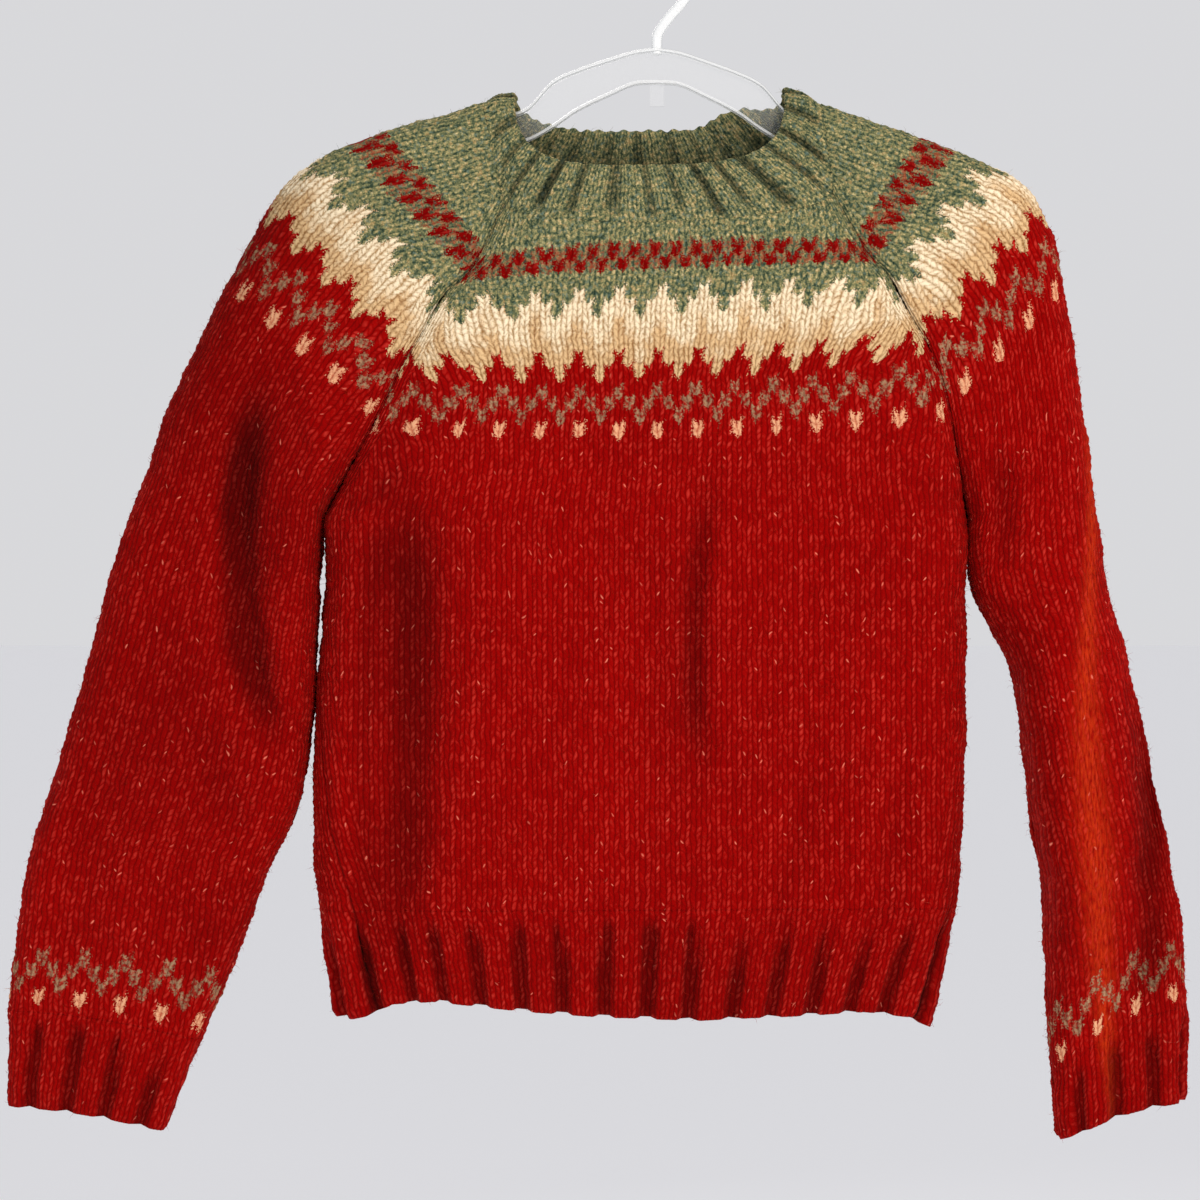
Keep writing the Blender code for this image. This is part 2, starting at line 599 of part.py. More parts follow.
hem_levels = np.array([0, HEM_TOP - RIB_FADE, HEM_TOP - hem_gap])
for name, face, side in (("hem_front", front_face, -1), ("hem_back", back_face, 1)):
    length = body_length(0, side) + side * (BODY["seam_left"][0] + BODY["seam_right"][0])
    phases = rib_columns(int(round(length / HEM_RIB)))
    grid, normal = panel(face, hem_levels, phases / phases[-1])
    piece(name, *wall(grid, normal, ribs=phases), finish(name + " red rib", RED, 0.9))

for end, face, sleeve in (("left", left_face, SLEEVE_LEFT), ("right", right_face, SLEEVE_RIGHT)):
    width = np.hypot(sleeve["fold_x"][0] - sleeve["edge_x"][0], sleeve["fold_z"][0] - sleeve["edge_z"][0])
    round_cuff = 2 * width + (np.pi - 2) * (sleeve["front"][0] + sleeve["back"][0]) / 2
    phases = rib_columns(int(round(round_cuff / CUFF_RIB)))
    cuff_levels = np.array([0, CUFF_TOP - RIB_FADE, CUFF_TOP - cuff_gap[end]])
    grid, normal = panel(face, cuff_levels, phases / phases[-1])
    piece("cuff_" + end, *wall(grid, normal, ribs=phases), finish("cuff " + end + " red rib", RED, 0.9))

band = neckband([grid for grid, _ in panels.values()])
band_wall = wall(band, ring_normals(band), ring=True, ribs=np.arange(band.shape[1]), plain_row=0)
piece("neckband", *band_wall, finish("green marl rib", GREEN, 0.9))

clear = finish("clear plastic", CLEAR, 0.08, 0.9)
hanger = piece("hanger", *capped_tube(hanger_arm_points()), clear)
hook = piece("hook_helper", *capped_tube(hook_rings()), clear)
tab = piece("tab_helper", *capped_tube(tab_rings()), clear)
joined(hanger, (hook, tab))
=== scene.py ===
"""The looks of a fair isle jumper hanging on a clear plastic hanger, knitted stitch by stitch over its solids."""

import bpy
import numpy as np
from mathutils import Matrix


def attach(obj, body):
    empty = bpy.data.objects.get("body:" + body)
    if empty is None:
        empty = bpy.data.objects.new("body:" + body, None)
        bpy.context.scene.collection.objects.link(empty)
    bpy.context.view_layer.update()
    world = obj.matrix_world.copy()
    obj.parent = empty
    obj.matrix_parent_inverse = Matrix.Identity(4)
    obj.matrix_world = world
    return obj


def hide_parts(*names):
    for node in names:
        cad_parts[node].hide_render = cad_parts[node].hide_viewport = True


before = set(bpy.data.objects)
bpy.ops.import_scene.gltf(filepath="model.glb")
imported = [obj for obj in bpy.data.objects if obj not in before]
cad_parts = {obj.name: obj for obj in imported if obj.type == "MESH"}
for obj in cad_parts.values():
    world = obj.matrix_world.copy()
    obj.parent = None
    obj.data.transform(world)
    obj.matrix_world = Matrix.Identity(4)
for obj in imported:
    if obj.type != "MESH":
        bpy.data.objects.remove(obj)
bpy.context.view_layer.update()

# ---------------------------------------------------------------- Camera
# It stands straight in front of the jumper, a little below its middle, and looks level at it.
CAMERA_PLACE = (-0.0359, -1.9, -0.4057)
CAMERA_LENS, CAMERA_SENSOR = 90.5, 36.0


def placed(name, data):
    """An object of the data, linked to the scene."""
    thing = bpy.data.objects.new(name, data)
    bpy.context.scene.collection.objects.link(thing)
    return thing


camera_data = bpy.data.cameras.new("camera")
camera_data.lens, camera_data.sensor_width = CAMERA_LENS, CAMERA_SENSOR
camera = placed("camera", camera_data)
camera.location = CAMERA_PLACE
camera.rotation_euler = (np.pi / 2, 0, 0)
bpy.context.scene.camera = camera

# ---------------------------------------------------------------- Front
# The front is hand-knitted in thick tweedy wool, in plain stocking stitch with fair isle bands at the yoke. It
# narrows to the neck along two raglan edges, where three columns of stitches run beside each seam. Sizes are in
# millimetres, and the jumper's form is the same as its solid's.
MM = 0.001


def table(columns, *rows):
    """A short table as {column name: its values down the rows}."""
    return dict(zip(columns.split(), np.array(rows, float).T))


# Rows from the hem's edge to the neckband: each end, how far the middle sinks, the depth to front and back, the
# depth and roundness of the ends, the back's rise, and how far the side seams have slipped to the front.
BODY = table(
    "left_x left_z right_x right_z drop front back edge corner rise seam_left seam_right",
    (-201, -667, 170, -673, 0, 24, 20, 0, 24, 0, 40, 18),  # hem edge
    (-212, -600, 187, -598, 0, 26, 21, 0, 26, 0, 38, 16),  # hem top
    (-216, -541, 192, -535, 0, 28, 22, 0, 28, 0, 26, 10),  # hip
    (-214, -462, 194, -462, 0, 29, 22, 0, 28, 0, 12, 5),  # waist
    (-209, -406, 194, -406, 1, 30, 22, 0, 28, 0, 3, 1),  # chest
    (-209, -353, 195, -355, 4, 31, 22, 0, 30, 0, 0, 0),  # underarm
    (-175, -292, 181, -285, 14, 31, 23, 20, 40, 0, 0, 0),  # dots
    (-160, -262, 169, -249, 14, 30, 23, 22, 45, 0, 0, 0),  # foot of the pale band
    (-146.5, -239, 156.5, -227, 8, 29.5, 23, 21, 48, 0, 0, 0),  # middle of the pale band
    (-133, -216, 144, -204, 2, 29, 23, 20, 50, 0, 0, 0),  # top of the pale band
    (-113, -196, 129, -187, 2, 28, 22, 17, 50, 3, 0, 0),  # check
    (-96, -159, 110, -153, 15, 27, 20, 13, 60, 26, 0, 0),  # neck
)
UNDERARM, NECK = 5, 11  # the rows where these lie
SAG_ROUND = 0.6  # the lower, the flatter a row sinks in its middle
HEM_WAVE = table(
    "x lift",
    (-190, 1), (-178, 4), (-165, 11), (-140, 13), (-86, 8), (-36, 5),
    (27, 4), (90, 8), (128, 11), (158, 8), (170, 0),
)

# Soft folds, each from a lower to an upper point: how far its line bows, its half-width, and its height, which
# is below zero for a furrow. The first nine are the large ones, and the rest are creases in the cloth.
FRONT_FOLDS = table(
    "low_x low_z high_x high_z bend width rise",
    # long furrow of the left sleeve, bunched cloth under its armhole, and furrow inside the left side seam
    (-231, -520, -240, -245, -24, 13, -12), (-214, -430, -222, -240, 8, 9, 5), (-172, -662, -160, -300, 14, 20, -9),
    # middle furrow, slanting furrow above the hem, and short furrow at the right
    (30, -540, 36, -300, -12, 10, -4), (62, -640, 98, -480, 6, 14, -4), (136, -640, 150, -470, 4, 10, -3),
    # lit ridge of the right sleeve, furrow beside its armhole, and forearm swell of the left sleeve
    (272, -670, 248, -340, -8, 20, 14), (214, -405, 206, -300, 5, 9, -6), (-350, -640, -310, -430, 6, 22, 5),
    # swells of the body, from left to right
    (-128, -560, -104, -330, 10, 22, 3.5), (-40, -620, -22, -370, -9, 24, 2.2),
    (112, -560, 104, -330, 12, 26, 2.6), (158, -520, 168, -360, 6, 14, 2.5),
    # drag lines from the armholes
    (-206, -350, -150, -318, 3, 7, -2.4), (-205, -368, -158, -352, -3, 8, 2.0), (150, -330, 196, -352, -3, 8, -2.2),
    # creases of the left arm, and gathers above its cuff
    (-262, -436, -300, -330, 8, 12, 3.0), (-250, -560, -290, -470, -7, 14, -3.0), (-388, -600, -362, -505, -5, 12, 2.4),
    (-300, -668, -292, -600, 5, 10, -2.6), (-345, -664, -338, -610, -4, 9, -2.0), (-378, -660, -372, -618, 3, 8, 1.8),
    # dark side of the right sleeve, and gathers above its cuff
    (300, -600, 306, -500, 5, 9, -4.0), (262, -640, 270, -560, -4, 10, 2.4), (296, -662, 312, -590, 5, 8, -2.6),
    # sharp line of the middle furrow and the swell beside it, and outer side of the right sleeve
    (28, -530, 38, -310, -9, 7, -3.2), (8, -470, 14, -350, -5, 9, 1.8), (300, -690, 296, -420, 10, 15, -7.0),
    # deep crease along the left seam, and sharp line and lit strip of the left sleeve's furrow
    (-172, -685, -164, -290, -17, 9, -3.6), (-262, -470, -256, -300, -10, 7, -3.2),
    (-222, -500, -226, -330, -6, 9, 3.0),
)
BACK_FOLDS = table(
    "low_x low_z high_x high_z bend width rise",
    (-150, -640, -132, -330, 12, 18, -6), (-72, -600, -60, -380, -9, 20, 3.5), (12, -560, 2, -300, 11, 13, -3.6),
    (84, -650, 66, -470, -6, 14, -3.4), (132, -600, 148, -350, 9, 17, 4.2), (-248, -540, -246, -300, -14, 13, -7),
    (-310, -640, -282, -450, 8, 20, 4.6), (-352, -600, -330, -480, -6, 12, -3), (262, -650, 246, -380, -7, 12, -5),
    (296, -610, 288, -500, 5, 12, 3.4), (-204, -352, -160, -322, 4, 8, -2.4), (158, -326, 196, -350, -4, 8, -2.2),
    (-60, -215, -8, -165, 5, 10, -2.0), (70, -212, 26, -168, -5, 10, -1.8),
)
FOLD_FADE, FOLD_FLOOR, FOLD_FULL = 0.28, 6.0, 20.0  # folds fade at both ends, and near the cloth's middle plane
FURROW_FULL, FURROW_SHADE = 11.0, 0.5  # the painted shade of a furrow this deep is at its darkest
DIM = table(  # painted shade on soft places of the front, which lie turned away from the light
    "x z across along deep",
    (-292, -250, 66, 90, 0.36), (-262, -170, 64, 46, 0.32), (-312, -480, 70, 130, 0.22), (-236, -345, 30, 60, 0.2),
    (-168, -400, 34, 110, 0.2), (-262, -640, 30, 60, 0.12), (312, -610, 20, 130, 0.1), (186, -600, 16, 90, 0.16),
    (20, -640, 60, 30, 0.06), (14, -440, 20, 90, 0.16),
)
RUBBED_LIT_STRIP = table(  # warm strip down the right sleeve: rubbed wool, and a painted highlight of its lit flank
    "z x half",
    (-250, 264, 3), (-300, 270, 4), (-340, 272, 4), (-411, 267, 5), (-451, 264, 7), (-505, 265, 10),
    (-559, 270, 11), (-612, 273, 9), (-650, 277, 7), (-700, 281, 4), (-740, 284, 1),
)
RUBBED_LIT_TOP, RUBBED_LIT_FADE = -240, 120

# How the knitting lies on the form: the knitted row at each row of BODY, and the column at each edge. Its last row
# is by the crown, which stands higher at both ends than in the middle.
FRONT_STITCHES = table(
    "level row left right",
    (1, 0, -29.0, 30.1), (2, 14, -31.7, 32.0), (3, 31, -33.7, 33.2), (4, 44, -34.5, 34.0),
    (5, 54, -35.0, 34.4), (6, 67, -29.0, 31.0), (7, 75, -27.2, 29.8), (8, 81.5, -23.4, 25.6),
    (9, 88, -21.4, 23.2), (10, 93, -18.6, 20.7), (11, 102, -16.8, 18.4),
)
FRONT_CROWN = (98.0, 102.0)
GAUGE = (6.34, 4.35)  # one stitch, across and up
POINTS_ACROSS, POINTS_UP = 4, 3  # mesh points to a stitch and to a row
EDGE_STITCHES = 3  # columns that run beside each seam
CROWN_TRIES = 12  # rounds in which the last row of each column settles
LEAN = 0.8  # how far a stitch's two legs rise from its middle to its sides, in rows
LEG_HEIGHT, LEG_RANGE = 1.05, (0.55, 1.25)
LEG_ROUND, LEG_SWELL = 0.7, (0.72, 0.28)  # how full a leg is across, and how it swells and narrows along
LUMP_HEIGHT, LUMP_WAVES, LUMP_LENGTHS = 0.34, 14, (22, 90)
CLOTH = 2.6  # from the knitting's base down to the inner side
SEAM_DEPTH, SEAM_WIDTH, SEAM_SHADE = 0.7, 3.0, 2.8  # how the edges turn in at a seam, and how wide its shade is
STRAND_SHADE = 0.6  # shade of the line beside a seam's outer column, against the seam's own
SIDE_SEAM, RAGLAN_SEAM, RAGLAN_FOOT, RAGLAN_FADE = 0.15, 0.55, -400, 60  # the shade is stronger up the raglans
YOKE_START = 66  # first patterned row of the front
BAND_DROOP = (1.7, 1.0)  # how many rows lower the yoke's bands end at the left and right raglans
DROOP_START, DROOP_END = 16, 5  # rows over which the droop begins above the chest and ends below the neck
# The inner side: a plain grid of so many columns and rows, evenly darkened by painted shade.
INSIDE_COLUMNS, INSIDE_ROWS, INSIDE_SHADE = 44, 40, 0.5
SLOPE_STEP = 4e-4


def along(column, level, corner=None):
    """A table column at any level: a cubic through the rows whose slope at a row is that between its neighbours.

    At a corner row each side keeps its own slope.
    """
    level = np.clip(np.asarray(level, float), 0, len(column) - 1)
    low = np.minimum(level.astype(int), len(column) - 2)
    share = level - low
    step = np.diff(column)
    before = np.concatenate([step[:1], (step[1:] + step[:-1]) / 2, step[-1:]])
    after = before.copy()
    if corner is not None:
        before[corner] = step[corner - 1]
        after[corner] = step[corner]
    bend = share**2 * (3 - 2 * share)
    leave = share * (1 - share) ** 2
    arrive = share**2 * (share - 1)
    return column[low] * (1 - bend) + column[low + 1] * bend + after[low] * leave + before[low + 1] * arrive


def smooth(share):
    """Zero up to 0, one from 1, and an S between them."""
    share = np.clip(share, 0, 1)
    return share**2 * (3 - 2 * share)


def unit(vectors):
    """The vectors at length one."""
    return vectors / np.maximum(np.linalg.norm(vectors, axis=-1, keepdims=True), 1e-12)


def flat_tube(travel, width, depth, near_depth, near_run, far_depth, far_run):
    """How far across and how deep a flattened tube's face is, at a distance of travel along it.

    A quarter ellipse rises from near_depth over near_run, a flat follows, and another falls to far_depth.
    """
    near_arc = np.pi / 2 * np.hypot(near_run, depth - near_depth) / np.sqrt(2)
    far_arc = np.pi / 2 * np.hypot(far_run, depth - far_depth) / np.sqrt(2)
    whole = near_arc + far_arc + width - near_run - far_run
    rest = whole - travel
    near_turn = np.pi / 2 * np.clip(travel / near_arc, 0, 1)
    far_turn = np.pi / 2 * np.clip(rest / far_arc, 0, 1)
    across = near_run + travel - near_arc
    across = np.where(travel < near_arc, near_run * (1 - np.cos(near_turn)), across)
    across = np.where(rest < far_arc, width - far_run * (1 - np.cos(far_turn)), across)
    rise = near_depth + (depth - near_depth) * np.sin(near_turn)
    fall = far_depth + (depth - far_depth) * np.sin(far_turn)
    return across, np.minimum(rise, fall), whole


def fold_height(x, z, side):
    """Height of the folds of a side at a place, each a soft ridge along its bowed line."""
    shift = np.zeros_like(x)
    folds = FRONT_FOLDS if side < 0 else BACK_FOLDS
    for low_x, low_z, high_x, high_z, bend, width, rise in zip(*folds.values()):
        run_x, run_z = high_x - low_x, high_z - low_z
        length = np.hypot(run_x, run_z)
        share = ((x - low_x) * run_x + (z - low_z) * run_z) / length**2
        aside = ((x - low_x) * run_z - (z - low_z) * run_x) / length
        aside = aside - bend * 4 * share * (1 - share)
        ends = smooth(share / FOLD_FADE) * smooth((1 - share) / FOLD_FADE)
        shift += rise * ends * np.exp(-((aside / width) ** 2))
    return shift


def folded(points, side):
    """The points moved out by the folds of their side, where the cloth stands far enough from its middle."""
    x, y, z = points[..., 0], points[..., 1], points[..., 2]
    held = smooth((side * y - FOLD_FLOOR) / (FOLD_FULL - FOLD_FLOOR))
    return np.stack([x, y + side * fold_height(x, z, side) * held, z], -1)


def body_row(level, side):
    """Where the body's row starts on the front (-1) or back (1), and its shape for flat_tube."""
    left, right, edge = (along(BODY[name], level, UNDERARM) for name in ("left_x", "right_x", "edge"))
    corner, depth = along(BODY["corner"], level), along(BODY["front" if side < 0 else "back"], level)
    return left, (right - left, depth, edge, corner, edge, corner)


def body_point(level, travel, side):
    """A point of the body's row at a distance of travel from its left end, on the front (-1) or back (1)."""
    left_x, shape = body_row(level, side)
    across, deep, _ = flat_tube(travel, *shape)
    share = np.clip(across / shape[0], 0, 1)
    left_z, right_z = (along(BODY[name], level, UNDERARM) for name in ("left_z", "right_z"))
    middle = (1 - (2 * share - 1) ** 2) ** SAG_ROUND
    z = left_z * (1 - share) + right_z * share - along(BODY["drop"], level) * middle
    z = z + np.interp(left_x + across, HEM_WAVE["x"], HEM_WAVE["lift"]) * (1 - np.clip(level, 0, 1))
    if side > 0:
        z = z + along(BODY["rise"], level, UNDERARM)
    return folded(np.stack([left_x + across, side * deep, z], -1), side)


def body_length(level, side):
    """Length of the body's row on the front (-1) or the back (1)."""
    _, shape = body_row(level, side)
    return flat_tube(0 * shape[0], *shape)[2]


def front_face(level, share):
    """The front's face at a share of the way from its left edge to its right one."""
    start, end = along(BODY["seam_left"], level), body_length(level, -1) - along(BODY["seam_right"], level)
    return body_point(level, start * (1 - share) + end * share, -1)


def stitch_plan(last, edges, crown):
    """Where each mesh point of a knitted panel lies in its stitches, as a layout of rows by columns.

    Columns keep to whole stitches, but for those of the strips along the two edges, which run beside them. A
    column ends where it meets a strip or the panel's upper edge, and the layout's points beyond its end are all
    the same one. edges gives the columns at the two edges of a row, and crown the last row at a share of the way
    across.
    """
    rows = np.linspace(0, last, int(np.ceil(last * POINTS_UP)) + 1)
    left, right = edges(rows)
    count = EDGE_STITCHES * POINTS_ACROSS + 1
    strip = np.arange(count) / POINTS_ACROSS
    start, stop = np.floor(left.min()) - 1, np.ceil(right.max()) + 1
    lattice = np.arange(start * POINTS_ACROSS, stop * POINTS_ACROSS + 1) / POINTS_ACROSS
    value = np.concatenate([strip, lattice, strip[::-1]])
    kind = np.repeat([-1, 0, 1], [count, len(lattice), count])

    def by_kind(kind, on_left, on_right, between):
        """The first in the left strip, the second in the right one, and the third between them."""
        return np.where(kind < 0, on_left, np.where(kind > 0, on_right, between))

    def place(row, value, kind):
        """A point's column at a row, and its share of the way across."""
        left, right = edges(row)
        column = by_kind(kind, left + value, right - value, value)
        return column, np.clip((column - left) / (right - left), 0, 1)

    def between_strips(left, right):
        """Whether each column lies between the strips of these edges."""
        return (value > left + EDGE_STITCHES) & (value < right - EDGE_STITCHES)

    top = np.full(len(value), float(last))
    for _ in range(CROWN_TRIES):
        top = crown(place(top, value, kind)[1])
    left, right, end = left[:, None], right[:, None], np.searchsorted(rows, top)
    row_of, column_of = np.indices((len(rows), len(value)))
    ends_on_top = ((kind != 0) | between_strips(*edges(top))) & (row_of >= end)
    gone = (kind == 0) & ~between_strips(left, right) & ~ends_on_top
    column_of = np.where(gone, np.where(value < (left + right) / 2, count - 1, len(value) - count), column_of)
    row_of = np.minimum(row_of, end[column_of])
    row = np.where(row_of == end[column_of], top[column_of], rows[np.minimum(row_of, len(rows) - 1)])
    own_value, own_kind = value[column_of], kind[column_of]
    column, share = place(row, own_value, own_kind)
    left, right = edges(row)
    return {
        "id": row_of * len(value) + column_of,
        "row": row,
        "share": share,
        "column": column,  # counted across the panel, for the pattern
        "beside": by_kind(kind, value, -value, column),  # counted from the edge in a strip, for each face's legs
        "ridge": by_kind(own_kind, own_value, -own_value, column),  # the same for each point
        "from_edge": np.minimum(column - left, right - column),
    }


rng = np.random.default_rng(11)
waves = rng.normal(size=(LUMP_WAVES, 2)) * 2 * np.pi / rng.uniform(*LUMP_LENGTHS, size=(LUMP_WAVES, 1))
phases = rng.uniform(0, 6.3, LUMP_WAVES)
UNEVEN = rng.uniform(*LEG_RANGE, size=(97, 89))  # height of single legs


def lumpy(points):
    """Small unevenness of hand knitting at a point: a sum of slow waves over X and Z."""
    angle = points[..., [0, 2]] @ waves.T + phases + np.sign(points[..., 1:2]) * np.arange(LUMP_WAVES)
    return LUMP_HEIGHT * np.sin(angle).sum(-1) / np.sqrt(LUMP_WAVES) * 2


def leg_relief(column, row):
    """Height of stocking stitch: two legs to a stitch that rise to its sides, each swelling once in a row."""
    stitch = column - np.floor(column)
    lean = np.abs(2 * stitch - 1)
    up = row - LEAN * lean
    leg = np.floor(2 * column).astype(int) % UNEVEN.shape[0]
    uneven = UNEVEN[leg, np.floor(up).astype(int) % UNEVEN.shape[1]]
    crest = np.abs(np.sin(2 * np.pi * stitch)) ** LEG_ROUND
    return LEG_HEIGHT * uneven * crest * (LEG_SWELL[0] + LEG_SWELL[1] * np.cos(2 * np.pi * (up - 0.5)))


def normals(face, level, share, low, high):
    """Outward normals of a face: the cross product of short steps across it and up it."""
    across = face(level, np.minimum(share + SLOPE_STEP, 1)) - face(level, np.maximum(share - SLOPE_STEP, 0))
    up = face(np.minimum(level + SLOPE_STEP, high), share) - face(np.maximum(level - SLOPE_STEP, low), share)
    return unit(np.cross(across, up))


def furrow_shade(points):
    """Painted shade at a point, from 0.

    It grows with the depth of a furrow of its side, and a dim place of the front adds more.
    """
    x, z, front = points[..., 0], points[..., 2], points[..., 1] < 0
    shade = smooth(-np.where(front, *(fold_height(x, z, side) for side in (-1, 1))) / FURROW_FULL)
    for centre_x, centre_z, across, along_z, deep in zip(*DIM.values()):
        dim = np.exp(-(((x - centre_x) / across) ** 2) - ((z - centre_z) / along_z) ** 2)
        shade = shade + front * dim * deep / FURROW_SHADE
    return shade


def rubbed_and_lit_at(points):
    """How much a point takes of the warm red, partly rubbed wool and partly a painted highlight of a lit flank.

    It is a strip down the front of the right sleeve that fades to its sides.
    """
    x, y, z = points.T
    line, half = (np.interp(-z, -RUBBED_LIT_STRIP["z"], RUBBED_LIT_STRIP[name]) for name in ("x", "half"))
    return smooth((RUBBED_LIT_TOP - z) / RUBBED_LIT_FADE) * (y < 0) * np.exp(-(((x - line) / half) ** 2))


def triangles_of(layout):
    """Corners, as places in a layout of rows by columns, of the two triangles of each of its squares."""
    place = np.arange(layout.size).reshape(layout.shape)
    a, b, c, d = place[:-1, :-1], place[:-1, 1:], place[1:, 1:], place[1:, :-1]
    both = np.stack([np.stack([a, b, c], -1), np.stack([a, c, d], -1)], 2).reshape(-1, 3)
    used = layout.ravel()[both]
    whole = (used[:, 0] != used[:, 1]) & (used[:, 1] != used[:, 2]) & (used[:, 0] != used[:, 2])
    return both[whole]


def border(layout):
    """What stands round the edge of a layout, from its first corner and back."""
    return np.concatenate([layout[0], layout[1:, -1], layout[-1, -2::-1], layout[-2:0:-1, 0]])


WOOLLY = []  # points, outer triangles, UV maps and painted shade of all that hairs grow on


def shell(name, points, faces, rim, uvs, painted_shade, outside=0, rubbed_and_lit=0.0):
    """A woollen mesh object from points in millimetres, triangles, and {UV map: its value at every corner}.

    The last triangles, rim in number, are shaded flat, so the edges between them and the cloth's two sides stay
    crisp. The argument after the UV maps gives for each point the painted shade that darkens its colour, and the
    last one is the least share that all of it takes of the rubbed strip's warm red, which is partly rubbed wool and
    partly a painted highlight. Hairs may grow on the first triangles, outside in number.
    """
    uvs = {label: values.reshape(-1, 3, 2) for label, values in uvs.items()}
    if outside:
        WOOLLY.append((points, faces[:outside], {label: values[:outside] for label, values in uvs.items()}, painted_shade))
    mesh = bpy.data.meshes.new(name)
    mesh.vertices.add(len(points))
    mesh.vertices.foreach_set("co", (points * MM).astype(np.float32).ravel())
    mesh.loops.add(faces.size)
    mesh.loops.foreach_set("vertex_index", faces.astype(np.int32).ravel())
    mesh.polygons.add(len(faces))
    mesh.polygons.foreach_set("loop_start", np.arange(0, faces.size, 3, dtype=np.int32))
    mesh.polygons.foreach_set("use_smooth", np.arange(len(faces)) < len(faces) - rim)
    mesh.update(calc_edges=True)
    for label, values in uvs.items():
        mesh.uv_layers.new(name=label).data.foreach_set("uv", values.astype(np.float32).ravel())
    rubbed_and_lit = np.maximum(rubbed_and_lit_at(points), rubbed_and_lit)
    for label, values in {"painted_shade": np.clip(painted_shade, 0, 1), "rubbed_and_lit": rubbed_and_lit}.items():
        mesh.attributes.new(label, "FLOAT", "POINT").data.foreach_set("value", values.astype(np.float32))
    mesh.validate()
    mesh.materials.append(wool)
    return placed(name, mesh)


def lined(name, ids, share, up, outer, painted_shade, beside, stitch, inside, inner_stitch, start):
    """Cloth of two sides: an outer layout of points, a plain inner grid, and a rim between their borders.

    ids gives the point at each place of the outer layout, share and up how far across and up the panel it lies,
    and stitch its column and row. beside takes the column's place in the legs of the outer side, and start is the
    row from which the pattern counts.
    """
    inner = ids.size + np.arange(inside[..., 0].size).reshape(inside.shape[:2])
    point_of = np.concatenate([ids.ravel(), len(outer) - ids.size + inner.ravel()])
    outside, lining = triangles_of(ids), ids.size + triangles_of(inner)[:, ::-1]
    across, upward = (np.rint(way * (count - 1)).astype(int) for way, count in zip((share, up), inner.shape[::-1]))
    near, far = border(np.arange(ids.size).reshape(ids.shape)), border(inner[upward, across])
    after_near, after_far = np.roll(near, -1), np.roll(far, -1)
    rim = np.concatenate([
        np.stack([after_near, near, far], -1)[point_of[near] != point_of[after_near]],
        np.stack([after_near, far, after_far], -1)[far != after_far],
    ])
    corners = np.concatenate([outside, lining, rim])
    plain = np.concatenate([stitch.reshape(-1, 2), inner_stitch.reshape(-1, 2)])[corners]
    legs = plain.copy()
    legs[: len(outside), :, 0] = beside.ravel()[outside]
    return shell(
        name, np.concatenate([outer, inside.reshape(-1, 3)]), point_of[corners], len(rim),
        {"stitch": legs, "pattern": plain - (0, start)},
        np.concatenate([painted_shade, np.full(inner.size, INSIDE_SHADE)]), len(outside),
    )


def hang(cloth, node, slot, flat, **more):
    """Attaches a piece of hanging cloth to the root body and hides its node among the imported parts.

    slot, flat (the size of its flat cut in metres) and the more keywords are not used.
    """
    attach(cloth, "root")
    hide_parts(node)


def columns_at(stitches):
    """A function from a row to the columns at a panel's two edges."""
    return lambda row: tuple(np.interp(row, stitches["row"], stitches[end]) for end in ("left", "right"))


def level_at(stitches, crown, droop):
    """A function from a row and a share of the way across to the level in the form's table.

    The yoke's rows end lower at the left and right raglans, by droop.
    """
    chest, check = stitches["row"][4], stitches["row"][-2]

    def level_of(row, share):
        """The level, with the droop as a cube of the way from the middle to the side."""
        aside = 2 * np.asarray(share, float) - 1
        ends = np.where(aside < 0, *droop) * np.abs(aside) ** 3
        row = row - ends * smooth((row - chest) / DROOP_START) * smooth((crown(share) - row) / DROOP_END)
        low = np.interp(row, stitches["row"], stitches["level"])
        return np.where(row < check, low, stitches["level"][-2] + (row - check) / (crown(share) - check))

    return level_of


def crown_of(middle, end):
    """A function from a share of the way across to the last row there: lowest in the middle."""
    return lambda share: middle + (end - middle) * (2 * share - 1) ** 2


def flat_area(stitches):
    """Area of a panel laid flat, in square metres: its stitches at the gauge."""
    rows = np.linspace(stitches["row"][0], stitches["row"][-1], 200)
    across = np.interp(rows, stitches["row"], stitches["right"] - stitches["left"])
    return float(np.ptp(rows) * across.mean() * GAUGE[0] * GAUGE[1] * MM**2)


def flat_size(stitches):
    """Width and length of that cut, in metres."""
    across = (stitches["right"] - stitches["left"]).max() * GAUGE[0]
    return across * MM, (stitches["row"][-1] - stitches["row"][0]) * GAUGE[1] * MM


